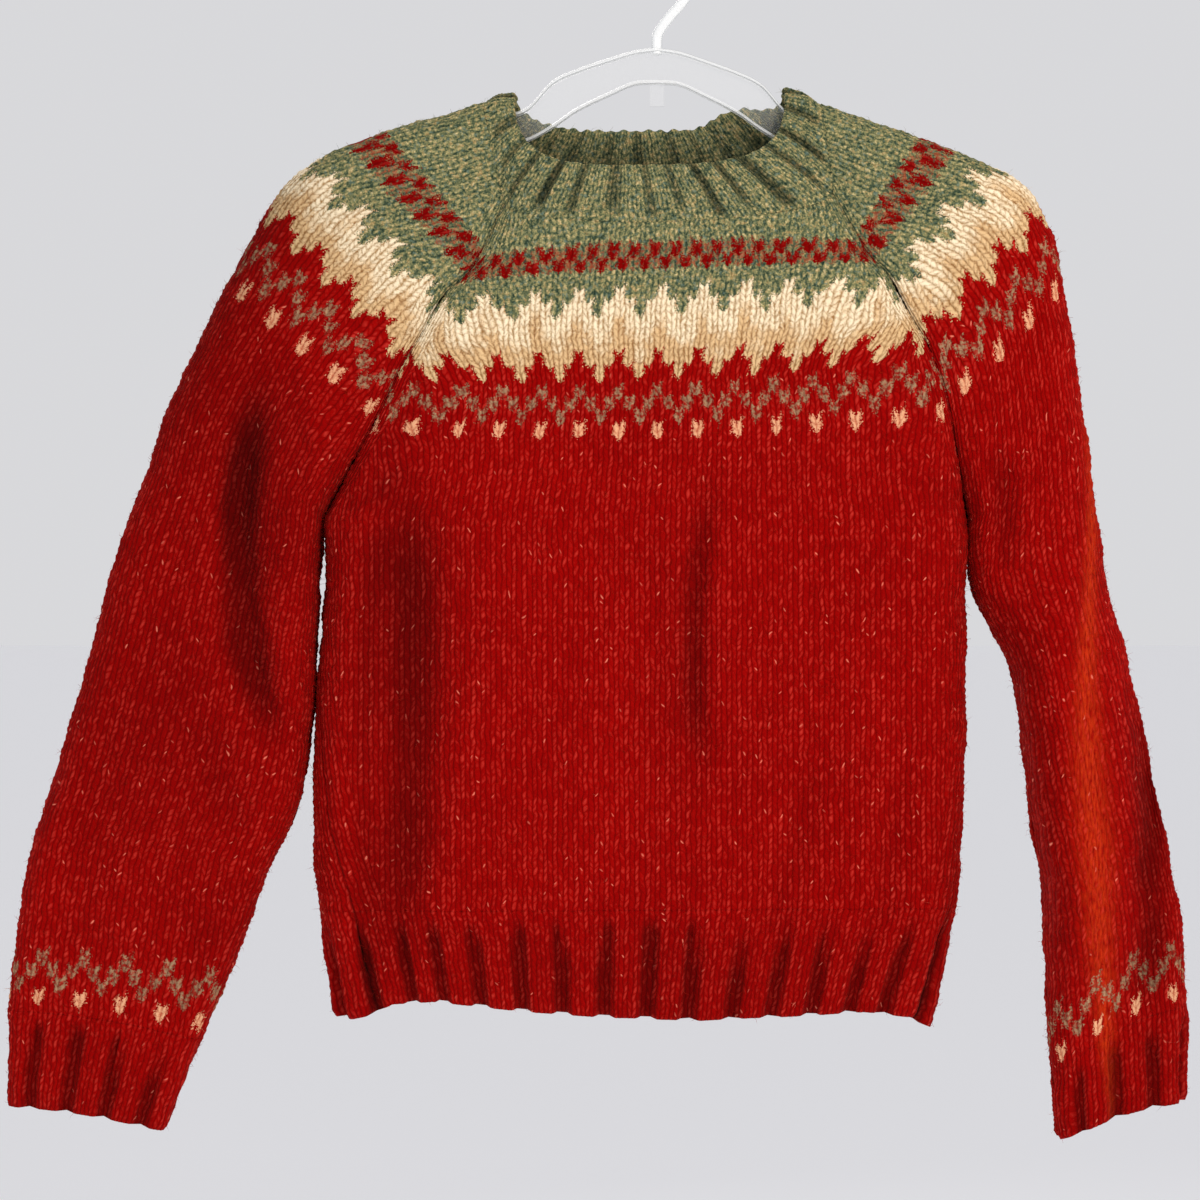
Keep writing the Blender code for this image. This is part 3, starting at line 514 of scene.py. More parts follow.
def knitted_panel(node, face, stitches, crown, start, droop=(0, 0)):
    """A panel of stocking stitch on a face, whose pattern begins at the row start: its stitches, shade and lining."""
    edges, level_of = columns_at(stitches), level_at(stitches, crown, droop)
    plan = stitch_plan(stitches["row"][-1], edges, crown)
    _, index, inverse = np.unique(plan["id"], return_index=True, return_inverse=True)
    row, share, ridge, from_edge = (plan[key].ravel()[index] for key in ("row", "share", "ridge", "from_edge"))
    level, ends = level_of(row, share), (level_of(0, 0.0), stitches["level"][-1])
    base, from_seam = face(level, share), from_edge * GAUGE[0]
    height = leg_relief(ridge, row) + lumpy(base) - SEAM_DEPTH * np.exp(-((from_seam / SEAM_WIDTH) ** 2))
    outer = base + height[:, None] * normals(face, level, share, *ends)
    # Painted shade along the seams and on a line beside their outer column, strongest up the raglans, added to that of
    # the furrows and dim places.
    seam_shade = np.exp(-((from_seam / SEAM_SHADE) ** 2)) + STRAND_SHADE * np.exp(-((from_seam - GAUGE[0]) ** 2))
    raglan = SIDE_SEAM + RAGLAN_SEAM * smooth((base[:, 2] - RAGLAN_FOOT) / RAGLAN_FADE)
    painted_shade = FURROW_SHADE * furrow_shade(base) + raglan * seam_shade

    share, up = np.meshgrid(np.linspace(0, 1, INSIDE_COLUMNS + 1), np.linspace(0, 1, INSIDE_ROWS + 1))
    row = crown(share) * up
    level = level_of(row, share)
    inside = face(level, share) - CLOTH * normals(face, level, share, *ends)
    left, right = edges(row)
    knit = lined(
        node + "_knit", inverse.reshape(plan["id"].shape), plan["share"], plan["row"] / crown(plan["share"]), outer,
        painted_shade, plan["beside"], np.stack([plan["column"], plan["row"]], -1), inside,
        np.stack([left + (right - left) * share, row], -1), start,
    )
    hang(knit, node, node + "_wool", flat_size(stitches), area=flat_area(stitches), rests_on=["hanger"])


def srgb(red, green, blue, alpha=1.0):
    """A screen colour, 0 to 255, as light."""
    share = np.array([red, green, blue]) / 255
    light = np.where(share <= 0.04045, share / 12.92, ((share + 0.055) / 1.055) ** 2.4)
    return (*map(float, light), alpha)


def maths(operation):
    """An operator on wires that adds a Math node."""
    return lambda self, other: self.math(operation, self, other)


class Wire:
    """A socket of a material's nodes. Arithmetic on wires adds Math nodes."""

    __add__ = __radd__ = maths("ADD")
    __mul__ = __rmul__ = maths("MULTIPLY")
    __sub__, __pow__ = maths("SUBTRACT"), maths("POWER")
    __gt__, __lt__ = maths("GREATER_THAN"), maths("LESS_THAN")

    def __init__(self, tree, source=None, output=0):
        self.tree, self.source = tree, source
        self.socket = source.outputs[output] if source and source.outputs else None

    def __rsub__(self, other):
        return self.math("SUBTRACT", other, self)

    def out(self, output):
        """Another output of the same node."""
        return Wire(self.tree, self.source, output)

    def node(self, kind, inputs=None, settings=None, stops=None):
        """Any node: its settings and a ramp's stops are set first, then its sockets' values or links."""
        made = self.tree.nodes.new("ShaderNode" + kind)
        for name, value in (settings or {}).items():
            setattr(made, name, value)
        for i, (place, colour) in enumerate(stops or []):
            ramp = made.color_ramp.elements
            stop = ramp[i] if i < 2 else ramp.new(place)
            stop.position, stop.color = place, colour
        for key, value in (inputs or {}).items():
            if isinstance(value, Wire):
                self.tree.links.new(value.socket, made.inputs[key])
            else:
                made.inputs[key].default_value = value
        return Wire(self.tree, made)

    def math(self, operation, *values):
        """A Math node on the values."""
        return self.node("Math", dict(enumerate(values)), {"operation": operation})

    def floor(self):
        """The whole number below."""
        return self.math("FLOOR", self)

    def part(self):
        """What is left above it."""
        return self.math("FRACT", self)

    def size(self):
        """The value without its sign."""
        return self.math("ABSOLUTE", self)

    def between(self, low, high):
        """One from the whole number low to high, and zero elsewhere."""
        return (self > low - 0.5) * (self < high + 0.5)

    def mixed(self, low, high, blend="MIX"):
        """From the colour low to high, or low blended with it, as this goes from 0 to 1."""
        return self.node("Mix", {0: self, 6: low, 7: high}, {"data_type": "RGBA", "blend_type": blend}).out(2)

    def stretched(self, low, high, start=0.0, end=1.0):
        """This value's range low to high spread over start to end, and held there."""
        return self.node("MapRange", dict(enumerate((self, low, high, start, end))))

    def vector(self, *parts):
        """The three values as a vector."""
        return self.node("CombineXYZ", dict(enumerate(parts)))

    def split(self):
        """A vector's three values, the first one at hand."""
        return self.node("SeparateXYZ", {0: self})

    def noise(self, scale, detail):
        """Cloudy noise at this vector."""
        return self.node("TexNoise", {"Vector": self, "Scale": scale, "Detail": detail})


def bare_material(name):
    """A material without nodes, and a wire to add them by."""
    material = bpy.data.materials.new(name)
    material.use_nodes = True
    material.node_tree.nodes.clear()
    return material, Wire(material.node_tree)


# The lowest red is both painted shade between the legs and the deeper red of the check band. The crest red is a painted
# highlight, and the warm red of the right sleeve's strip is partly rubbed wool and partly a painted highlight.
RED_LOW, RED, RED_HIGH, RED_GLINT = srgb(92, 0, 0), srgb(138, 0, 0), srgb(158, 4, 2), srgb(196, 52, 42)
FLECK, RUBBED_LIT_RED = srgb(226, 118, 96), srgb(192, 50, 14)
GREEN_STOPS = [
    (0.0, srgb(20, 44, 36)), (1.0, srgb(226, 208, 156)), (0.3, srgb(66, 80, 60)),
    (0.52, srgb(112, 116, 80)), (0.76, srgb(162, 152, 104)),
]
RUST, MIST = srgb(150, 106, 58), srgb(104, 126, 114)
TAUPE_LOW, TAUPE_HIGH = srgb(98, 48, 34), srgb(178, 142, 108)
CREAM, CREAM_LOW, TAN_LOW, TAN = srgb(248, 230, 196), srgb(164, 128, 82), srgb(136, 92, 50), srgb(214, 172, 116)
DOT_LOW, DOT = srgb(180, 92, 64), srgb(228, 168, 128)
SHADE_TINT = srgb(84, 94, 98)
CHART = {  # each colour's first and last rows, from the yoke's dots up, and the steps of the repeat where it stands
    "dot": ((0, 1, (0,)), (-96, -95, (0,))),
    "taupe": ((2, 3, (2,)), (4, 5, (1,)), (6, 7, (0,)), (-94, -93, (2,)), (-92, -91, (1,)), (-90, -89, (0,))),
    "cream": ((9, 10, (2,)), (11, 12, (1, 2)), (13, 17, (0, 1, 2)), (18, 19, (0, 1)), (20, 21, (0,))),
    "green": ((18, 19, (2,)), (20, 21, (1, 2)), (22, 999, (0, 1, 2))),
}
REPEAT = 4  # columns, of which the third is as the first
SWAY, LIFT, FRAY = 0.55, 1.1, (1.2, 2.0)  # how far stitches wander across and up, and the pattern's edges fray
CHECK_EVEN, CHECK_ODD = (25, 26), (27, 28)  # rows of the red check at even and at odd columns


def wool_material():
    """Thick tweedy wool in stitches, coloured by row and column of the fair isle pattern.

    A stitch's two legs rise from its middle to its sides, so a colour's rows end in small Vs. A slow wobble bends
    the stitches, each leg has its own tone, and a few legs in a hundred carry a speck of pale tweed. Painted
    highlights sit on the crests, more on one leg of each stitch, and painted shade darkens the valleys between
    legs, the furrows, the seams, the inner side and the dim places of the front. The strip down the right sleeve
    is a warmer red, partly as rubbed wool and partly as a painted highlight of its lit flank.
    """
    material, make = bare_material("fair_isle_wool")
    stitch, pattern = (make.node("UVMap", None, {"uv_map": name}).split() for name in ("stitch", "pattern"))
    felt_and_light, painted_shade = (make.node("Attribute", None, {"attribute_name": name}).out(2) for name in ("rubbed_and_lit", "painted_shade"))
    place = make.node("TexCoord").out(3)
    wobble = place.noise(120.0, 1.0).out(1).split()
    sway, lift = (wobble - 0.5) * SWAY, (wobble.out(1) - 0.5) * LIFT
    across, up = stitch + sway, stitch.out(1) + lift
    lean = (across.part() * 2 - 1).size()
    strand = up - lean * LEAN
    leg, aside, along_leg = (across * 2).floor(), (across * 2).part(), strand.part()
    relief = make.math("SINE", aside * np.pi) * (0.35 + 0.65 * (1 - (along_leg * 2 - 1).size() ** 2.0))

    cell = make.vector(leg, strand.floor(), 3.0)
    chance = make.node("TexWhiteNoise", {"Vector": cell}, {"noise_dimensions": "3D"}).out(1).split()
    chance_two, chance_three = chance.out(1), chance.out(2)
    hair, wisp, patch = place.noise(1100.0, 3.0), place.noise(900.0, 1.0), place.noise(60.0, 2.0)
    cloud, marl, spot = place.noise(16.0, 2.0), place.noise(420.0, 3.0), place.split()
    tint, grain = marl.out(1).split(), marl.stretched(0.3, 0.7)
    streak = make.vector(spot * 800.0, 0.0, spot.out(2) * 140.0).noise(1.0, 3.0)
    ply = make.vector(across * 7.0, strand * 1.6 + lean * 0.7, 0.0).noise(1.0, 2.0)
    mottle = chance * 0.45 + ply * 0.35 + hair * 0.4 - 0.1

    red = (mottle + cloud * 0.8 - 0.4).stretched(0.15, 0.9).mixed(RED, RED_HIGH)
    # Painted shade in the valleys between legs.
    red = relief.stretched(0.0, 0.5, 0.7, 0.0).mixed(red, RED_LOW)
    # Painted highlights on the crests of some legs, more often on the right leg of each stitch, as by a light from the
    # right.
    lit = (chance * 0.6 + marl * 1.3 + (across.part() > 0.5) * 0.28).stretched(1.0, 1.65, 0.0, 0.76)
    red = (relief.stretched(0.4, 0.95) * lit).mixed(red, RED_GLINT)
    # Partly rubbed wool and partly a painted highlight: the right sleeve's strip turns a warm red in fibre streaks.
    red = (felt_and_light * streak.stretched(0.36, 0.66, 0.1, 0.9)).mixed(red, RUBBED_LIT_RED)
    off_side, off_end = (aside - 0.3 - chance_three * 0.4) * 3.2, (along_leg - 0.25 - chance * 0.5) * 6.0
    speck = (off_side * off_side + off_end * off_end).stretched(0.2, 0.95, 1.0, 0.0) * (chance_two > 0.97)
    red = (speck * chance_three.stretched(0.0, 0.8, 0.3, 0.95)).mixed(red, FLECK)
    # The marl's own tone, with painted shade where the legs' relief is low, as also in the taupe.
    shade = grain * 0.62 + hair * 0.9 + chance * 0.14 + relief * 0.3 - 0.47
    green = make.node("ValToRGB", {0: shade}, stops=GREEN_STOPS)
    green = tint.stretched(0.56, 0.68, 0.0, 0.4).mixed(green, RUST)
    green = tint.out(1).stretched(0.56, 0.68, 0.0, 0.6).mixed(green, MIST)
    taupe = (chance * 0.3 + hair * 1.0 + grain * 0.3 + relief * 0.4 - 0.55).mixed(TAUPE_LOW, TAUPE_HIGH)

    fray = wisp - 0.5
    column = (pattern + sway + fray * FRAY[0]).floor()
    row = (pattern.out(1) + lift - lean * LEAN + fray * FRAY[1]).floor()
    turn = (column * (1 / REPEAT)).part() * REPEAT
    step = make.math("MINIMUM", turn, REPEAT - turn)
    at = [step.between(number, number) for number in range(3)]
    warm = patch.stretched(0.35, 0.65, -1.6, 1.6) + chance * 1.6
    tan = (12.6 + at[0] * 4.0 + at[1] * 1.4 - row + warm).stretched(-1.2, 2.0, 0.0, 0.8)
    # For the pale yarns, painted highlights on the crests and painted shade in the valleys, with their own grain.
    bright = (relief * 0.7 + grain * 0.4 + hair * 1.0 + chance * 0.2 - 0.62).stretched(0.05, 0.8)
    cream = tan.mixed(bright.mixed(CREAM_LOW, CREAM), bright.mixed(TAN_LOW, TAN))
    dot = bright.mixed(DOT_LOW, DOT)

    def charted(colour):
        """One where the chart has the colour, and zero elsewhere."""
        return sum(row.between(low, high) * sum(at[number] for number in steps) for low, high, steps in CHART[colour])

    odd = (column * 0.5).part() > 0.25
    check = row.between(*CHECK_EVEN) * (1 - odd) + row.between(*CHECK_ODD) * odd
    check_band = row.between(CHECK_EVEN[0], CHECK_ODD[1])
    green = (check_band * marl.stretched(0.44, 0.6, 0.0, 0.7)).mixed(green, RED)
    is_green = charted("green") * (1 - check * marl.stretched(0.34, 0.42, 0.4, 1.0))
    colour = (check_band * 0.5).mixed(red, RED_LOW)
    colour = (charted("taupe") * marl.stretched(0.42, 0.54, 0.15, 1.0)).mixed(colour, taupe)
    for mask, yarn in (charted("dot"), dot), (charted("cream"), cream), (is_green, green):
        colour = mask.mixed(colour, yarn)
    # Painted shade: each point's share darkens the colour towards a grey blue.
    colour = painted_shade.mixed(colour, SHADE_TINT, "MULTIPLY")
    height = relief * 0.8 + ply * 0.35 + hair * 0.4
    bump = make.node("Bump", {"Strength": 0.6, "Distance": 0.0013, "Height": height})
    shader = make.node("BsdfPrincipled", {
        "Base Color": colour, "Normal": bump, "Roughness": 0.92, "Specular IOR Level": 0.04, "Sheen Weight": 0.03,
        "Sheen Roughness": 0.55, "Sheen Tint": srgb(238, 150, 124),
    })
    make.node("OutputMaterial", {0: shader})
    return material


wool = wool_material()
front_crown = crown_of(*FRONT_CROWN)
knitted_panel("front", front_face, FRONT_STITCHES, front_crown, YOKE_START, BAND_DROOP)

# ---------------------------------------------------------------- Back
# The back is knitted like the front, a little higher at the neck. Below the underarm its side seams have slipped
# round to the front, so it shows at both sides of it.
BACK_STITCHES = table(
    "level row left right",
    (1, 0, -37.5, 37.5), (2, 14, -36.8, 36.8), (3, 31, -35.3, 35.3), (4, 44, -33.9, 33.9),
    (5, 54, -33.6, 33.6), (6, 67, -29.3, 29.3), (7, 75, -27.8, 27.8), (8, 81.5, -24.2, 24.2),
    (9, 88, -21.8, 21.8), (10, 93, -19.2, 19.2), (11, 108, -17, 17),
)
BACK_CROWN = (104.0, 108.0)


def back_face(level, share):
    """The back's face, from the right side seam, which may lie on the front, round to the left one."""
    front, back = body_length(level, -1), body_length(level, 1)
    start, end = -along(BODY["seam_right"], level), back + along(BODY["seam_left"], level)
    travel = start * (1 - share) + end * share
    behind = body_point(level, back - np.clip(travel, 0, back), 1)
    right_of_front = body_point(level, front + np.minimum(travel, 0), -1)
    left_of_front = body_point(level, np.maximum(travel - back, 0), -1)
    on_right, on_left = (travel < 0)[..., None], (travel > back)[..., None]
    return np.where(on_right, right_of_front, np.where(on_left, left_of_front, behind))


knitted_panel("back", back_face, BACK_STITCHES, crown_of(*BACK_CROWN), YOKE_START, BAND_DROOP)

# ---------------------------------------------------------------- Sleeves
# Each sleeve is knitted as one piece and closed by a seam under the arm, and its top runs up between front and
# back to the neckband. The left one hangs wide and flat, and the right one is turned and narrower. The pattern
# of the yoke goes on round them, and a small zigzag stands above each cuff.
SLEEVES = {
    "left": table(
        "edge_x edge_z fold_x fold_z bow front back corner",
        (-309, -738, -408, -722, 3, 15, 13, 15),  # cuff edge
        (-287, -682, -407, -663, 4, 15, 13, 14),  # cuff top
        (-263, -626, -402, -614, 4, 18, 15, 17),  # wrist
        (-246, -579, -393, -563, 3, 20, 17, 19),  # forearm
        (-226, -536, -377, -510, 2, 22, 18, 20),  # below the elbow
        (-216, -478, -358, -445, 0, 24, 20, 22),  # elbow
        (-214, -431, -338, -373, 0, 25, 20, 23),  # upper arm
        (-212, -390, -319, -321, 0, 26, 21, 24),  # biceps
        (0, 0, -303, -275, 0, 27, 22, 25),  # underarm
        (0, 0, -270, -208, 0, 27, 22, 35),  # dots
        (0, 0, -249, -169, 0, 25, 22, 35),  # foot of the pale band
        (0, 0, -235, -147, 0, 23.5, 21.5, 32),  # middle of the pale band
        (0, 0, -213, -129, 0, 22, 21, 30),  # top of the pale band
        (0, 0, -180, -115, 0, 18, 18, 25),  # check
        (0, 0, -110, -93, 0, 14, 14, 20),  # neck
    ),
    "right": table(  # the same rows
        "edge_x edge_z fold_x fold_z bow front back corner",
        (252, -744, 332, -719, 6, 22, 18, 20), (248, -703, 332, -660, 9, 22, 18, 20),
        (245, -645, 329, -607, 10, 26, 20, 22), (242, -585, 321, -563, 8, 29, 22, 24),
        (234, -535, 310, -510, 5, 31, 22, 24), (229, -488, 298, -456, 2, 32, 22, 24),
        (220, -442, 285, -406, 0, 32, 22, 24), (198, -399, 278, -362, 0, 30, 22, 25),
        (0, 0, 268, -292, 0, 29, 22, 25), (0, 0, 255, -210, 0, 27, 22, 30), (0, 0, 247, -173, 0, 25, 22, 32),
        (0, 0, 233, -147, 0, 23.5, 21.5, 29), (0, 0, 204, -131, 0, 22, 21, 26), (0, 0, 174, -118.5, 0, 18, 18, 25),
        (0, 0, 103, -94, 0, 14, 14, 20),
    ),
}
SLEEVE_UNDERARM, SLEEVE_NECK, SLEEVE_YOKE_START = 8, 14, 97
SLEEVE_STITCHES = {
    "left": table(
        "level row left right",
        (1, 0, -22, 22), (2, 12, -24, 24), (3, 23.2, -25.5, 25.5), (4, 34.6, -26.5, 26.5), (5, 48.6, -26.5, 26.5),
        (6, 62, -26, 26), (7, 72.6, -25, 25), (8, 82, -25, 25), (9, 98, -23, 23), (10, 106, -21.5, 21.5),
        (11, 112.5, -20.5, 20.5), (12, 119, -19.5, 19.5), (13, 124, -17, 17), (14, 139, -11, 11),
    ),
    "right": table(
        "level row left right",
        (1, 0, -18, 18), (2, 12.5, -17.7, 17.7), (3, 24.3, -16.8, 16.8), (4, 36.1, -16.4, 16.4),
        (5, 47.6, -16, 16), (6, 58.7, -16, 16), (7, 69, -17, 17), (8, 82, -19, 19), (9, 98, -19, 19),
        (10, 106, -18, 18), (11, 112.5, -17.5, 17.5), (12, 119, -15.5, 15.5), (13, 124, -13.5, 13.5),
        (14, 139, -9.5, 9.5),
    ),
}
SLEEVE_CROWN = (133.0, 139.0)  # at the front raglan edge, and from the fold to the back one


def sleeve_side(end, level, share, side):
    """A point of the sleeve's front (-1) or back (1), at a share of the way from its edge to its fold."""
    sleeve, none = SLEEVES[end], np.zeros(SLEEVE_UNDERARM)

    def edge_line(own, name):
        """A column for the sleeve's edge: its own, and from the underarm that of the body's raglan edge."""
        column = np.concatenate([own[:SLEEVE_UNDERARM], BODY[name][UNDERARM:]])
        return along(column, level, SLEEVE_UNDERARM)

    edge_x, edge_z = edge_line(sleeve["edge_x"], end + "_x"), edge_line(sleeve["edge_z"], end + "_z")
    if side > 0:
        edge_z = edge_z + edge_line(none, "rise")
    run_x, run_z = along(sleeve["fold_x"], level) - edge_x, along(sleeve["fold_z"], level) - edge_z
    width = np.hypot(run_x, run_z)
    depth = along(sleeve["front" if side < 0 else "back"], level)
    shape = (width, depth, edge_line(none, "edge"), along(sleeve["corner"], level), 0 * depth, depth)
    across, deep, _ = flat_tube(flat_tube(0 * width, *shape)[2] * share, *shape)
    way = across / width
    bow = along(sleeve["bow"], level) * 4 * way * (1 - way)
    return folded(np.stack([edge_x + run_x * way, side * deep, edge_z + run_z * way + bow], -1), side)


def sleeve_face(end):
    """A function for the sleeve's face, from one edge over the fold to the other, seen from outside."""

    def face(level, share):
        """The right sleeve starts at its front edge, and the left one at its back edge."""
        turn = 2 * share if end == "right" else 2 - 2 * share
        front = sleeve_side(end, level, np.minimum(turn, 1), -1)
        back = sleeve_side(end, level, np.minimum(2 - turn, 1), 1)
        return np.where((turn <= 1)[..., None], front, back)

    return face


def sleeve_crown(end):
    """A function from a share of the way round to the sleeve's last row: lowest at the front edge."""

    def crown(share):
        """It rises from the front edge to the fold and stays level behind."""
        turn = share if end == "right" else 1 - share
        return SLEEVE_CROWN[0] + (SLEEVE_CROWN[1] - SLEEVE_CROWN[0]) * smooth(2 * turn)

    return crown


for end, stitches in SLEEVE_STITCHES.items():
    knitted_panel("sleeve_" + end, sleeve_face(end), stitches, sleeve_crown(end), SLEEVE_YOKE_START)

# ---------------------------------------------------------------- Hem and cuffs
# Ribbing in two plain and two purl stitches finishes the hem and the cuffs. The plain pairs stand out as rounded
# ridges, and the purl pairs draw in as furrows darkened by painted shade. It is knitted on in the red wool and
# cast off loosely.
RIB_STITCHES = 4
RIB_STEPS = 24  # mesh columns to a rib
RIDGE, RIDGE_SIDE = 0.66, 0.44  # shares of a rib that its ridge takes, and the ridge's two steep sides
RIDGE_HEIGHT, RIDGE_CROWN, FURROW_DEPTH = 1.7, 0.7, 3.4
RIB_SUNK, RIB_LEGS = 0.4, (0.25, 0.65)  # how much of the stitches shows in a furrow, and how much more on a ridge
RIB_FADE, FADE_SPREAD, FADE_SCATTER = 0.5, 0.5, (2.4, 1.3)  # each rib sets in at a height of its own
RIB_CLOTH, RIB_INSIDE_ROWS = 5.6, 6
HEM_RIB, CUFF_RIB = 24.9, 21.0
HEM_ROWS, CUFF_ROWS = 15, 13
HEM_LENGTH, CUFF_LENGTH = 0.067, 0.058
HEM_WIDTHS, CUFF_EASE = (0.36, 0.48), 1.1  # flat widths in metres, and a cuff's against its width as it hangs
TUCK, TUCK_DEPTH = 0.012, 0.8  # how far a trim runs on under the plain knitting
TRIM_TOP = 1.2  # the face goes on up to this level above a trim
SCALLOP, SCALLOP_FADE = 1.3, 6  # how much lower the ridges end than the furrows, and how fast that fades
HEM_FURROWS = np.array([377, 413, 442, 479, 520, 559, 600, 642, 682, 726, 764, 803, 841, 874, 915.0])
LIP = 1.2  # how far the cast-off row turns in
RIB_SHADE, TRIM_SHADE, TRIM_SEAM = 0.5, 0.07, 0.3  # shade of the furrows, of the whole trim and of its seams


def ridge_at(phase):
    """One on a rib's ridge, zero in its furrow, and a steep side between them."""
    return 1 - smooth((np.abs(2 * phase - 1) - RIDGE + RIDGE_SIDE / 2) / RIDGE_SIDE)


def rib_relief(phase, legs):
    """Height of a two-by-two rib: a crowned ridge with stitches on it, and steep sides down to a furrow."""
    side, ridge = np.abs(2 * phase - 1), ridge_at(phase)
    crowned = -FURROW_DEPTH + (FURROW_DEPTH + RIDGE_HEIGHT) * ridge - RIDGE_CROWN * ridge * (side / RIDGE) ** 2
    return crowned + legs * (RIB_LEGS[0] + RIB_LEGS[1] * ridge) - RIB_SUNK


def ribbed_trim(node, face, count, rows, start, columns, flat, furrows=None):
    """A ribbed trim on a face, from its free edge at level 0 to the plain knitting at level 1.

    columns are those of the plain knitting at its two ends, and they run straight on into the ribs. furrows are
    the shares of the way across at which its ribs meet, unless they are even.
    """
    turn = np.arange(count * RIB_STEPS + 1) / RIB_STEPS
    phase = turn % 1
    share = turn / count if furrows is None else np.interp(turn, np.arange(count + 1), furrows)
    level = np.append(np.linspace(0, 1, rows * POINTS_UP + 1), 1 + TUCK)
    share, level = np.meshgrid(np.clip(share, 0, 1), level)
    up = np.minimum(level, 1)
    row, column = (up - 1) * rows, columns[0] + (columns[1] - columns[0]) * share
    base, legs = face(level, share), leg_relief(column, row)
    whole = np.floor(turn)
    uneven = 1 + FADE_SPREAD * np.sin(FADE_SCATTER[0] * whole + FADE_SCATTER[1] * whole**2)
    fade = smooth((1 - up) / (RIB_FADE * uneven))
    height = rib_relief(phase, legs) * fade + legs * (1 - fade)
    edge = LIP * (1 - np.minimum(up * rows, 1)) ** 2
    from_seam = np.minimum(share, 1 - share) * count * HEM_RIB
    seam = SEAM_DEPTH * np.exp(-((from_seam / SEAM_WIDTH) ** 2))
    height = height + lumpy(base) - edge - seam - TUCK_DEPTH * (level > 1)
    outer = base + height[..., None] * normals(face, level, share, 0, TRIM_TOP)
    outer[..., 2] -= SCALLOP * (ridge_at(phase) - 0.5) * (1 - up) ** SCALLOP_FADE
    # Painted shade in the furrows and along the seams, a little over the whole trim, and that of the body's furrows.
    shade = RIB_SHADE * (1 - ridge_at(phase)) * fade + TRIM_SEAM * np.exp(-((from_seam / SEAM_SHADE) ** 2))
    shade = shade + TRIM_SHADE * fade + FURROW_SHADE * furrow_shade(base)

    inner_share, inner_up = np.meshgrid(np.linspace(0, 1, 2 * count + 1), np.linspace(0, 1, RIB_INSIDE_ROWS + 1))
    inside = face(inner_up, inner_share) - RIB_CLOTH * normals(face, inner_up, inner_share, 0, TRIM_TOP)
    inner_stitch = np.stack([columns[0] + (columns[1] - columns[0]) * inner_share, (inner_up - 1) * rows], -1)
    trim = lined(
        node + "_rib", np.arange(share.size).reshape(share.shape), share, up, outer.reshape(-1, 3), shade.ravel(),
        column, np.stack([column, row], -1), inside, inner_stitch, start,
    )
    hang(trim, node, node + "_rib", flat)


hem_furrow_shares = (HEM_FURROWS - HEM_FURROWS[0]) / (HEM_FURROWS[-1] - HEM_FURROWS[0])
ribbed_trim(
    "hem_front", front_face, len(HEM_FURROWS) - 1, HEM_ROWS, YOKE_START, columns_at(FRONT_STITCHES)(0),
    (HEM_WIDTHS[0], HEM_LENGTH), hem_furrow_shares,
)
back_ribs = int(round((body_length(0, 1) + BODY["seam_left"][0] + BODY["seam_right"][0]) / HEM_RIB))
ribbed_trim(
    "hem_back", back_face, back_ribs, HEM_ROWS, YOKE_START, columns_at(BACK_STITCHES)(0), (HEM_WIDTHS[1], HEM_LENGTH)
)
for end, sleeve in SLEEVES.items():
    wide = np.hypot(sleeve["fold_x"][0] - sleeve["edge_x"][0], sleeve["fold_z"][0] - sleeve["edge_z"][0])
    round_cuff = 2 * wide + (np.pi - 2) * (sleeve["front"][0] + sleeve["back"][0]) / 2
    ribbed_trim(
        "cuff_" + end, sleeve_face(end), int(round(round_cuff / CUFF_RIB)), CUFF_ROWS, SLEEVE_YOKE_START,
        columns_at(SLEEVE_STITCHES[end])(0), (float(round_cuff * MM * CUFF_EASE), CUFF_LENGTH),
    )

# ---------------------------------------------------------------- Neckband
# The neckband is a soft two-by-two rib in the green marl, picked up round the neck, and its cast-off edge rolls
# over to a rounded rim. Its inner side shows behind the hanger.
PEAK_LEFT, PEAK_RIGHT = (-89, -86), (80, -83)
NECK_DIP_FRONT, NECK_DIP_BACK = 50, 23
NECK_DEPTH_FRONT, NECK_DEPTH_BACK = 24, 20
NECK_SQUARE, NECK_ROUND = 0.6, 0.5
NECK_STEEP_FRONT, NECK_STEEP_BACK = 0.6, 0.9
NECK_WAVE = table("x lift", (25, 0), (44, 9), (58, 9), (76, 0))
NECK_BULGE, NECK_LEGS, NECK_LUMPS = 2.0, 0.7, 0.8
NECK_RIBS, NECK_STEPS, NECK_ROWS = 28, 20, 11
NECK_CLOTH = 4.4
NECK_RIDGE, NECK_FURROW = 0.8, 1.7
NECK_RIDGE_SHARE, NECK_RIDGE_SIDE = 0.5, 0.4
NECK_STRENGTH, NECK_START = (0.86, 0.34), (0.3, 0.14)  # how strong a rib is and how high it sets in, and their spread
NECK_SCALLOP, NECK_BUMP = 0.8, 0.7  # how far the ribs and the cast-off stitches stand up at the edge
FRONT_SCALLOP, NECK_SCALLOP_FADE = 0.4, 4  # the front's share of that, and how fast it fades downwards
LOOP_POINTS, LOOP_SHARES = 4000, 60  # points round the upper edge, and to each piece along the lower one
LIP_SHARE, LIP_STEPS = 0.07, 7  # share of the band's height over which its edge rounds
NECK_SWERVE = ((0.12, 5, 0), (0.07, 11, 2))  # slow waves by which the ribs wander: height, number and lag
# Painted shade of the neckband: in its rib grooves outside, less at the rolled edge, and over its inner side, darker
# towards the foot and in the grooves.
NECK_SHADE, LIP_LIGHT = 0.72, 0.25
INNER_SHADE, INNER_FOOT, INNER_FALL, INNER_GROOVE = 0.04, 1.05, 1.2, 0.3
NECK_FLAT = (0.54, 0.05)
NECK_INSIDE = (0.7, 0.6, 0.4)  # how much of the ribs and stitches shows inside, and how thin the band is there
NECK_PATTERN = 40  # a row above the check, where all is green


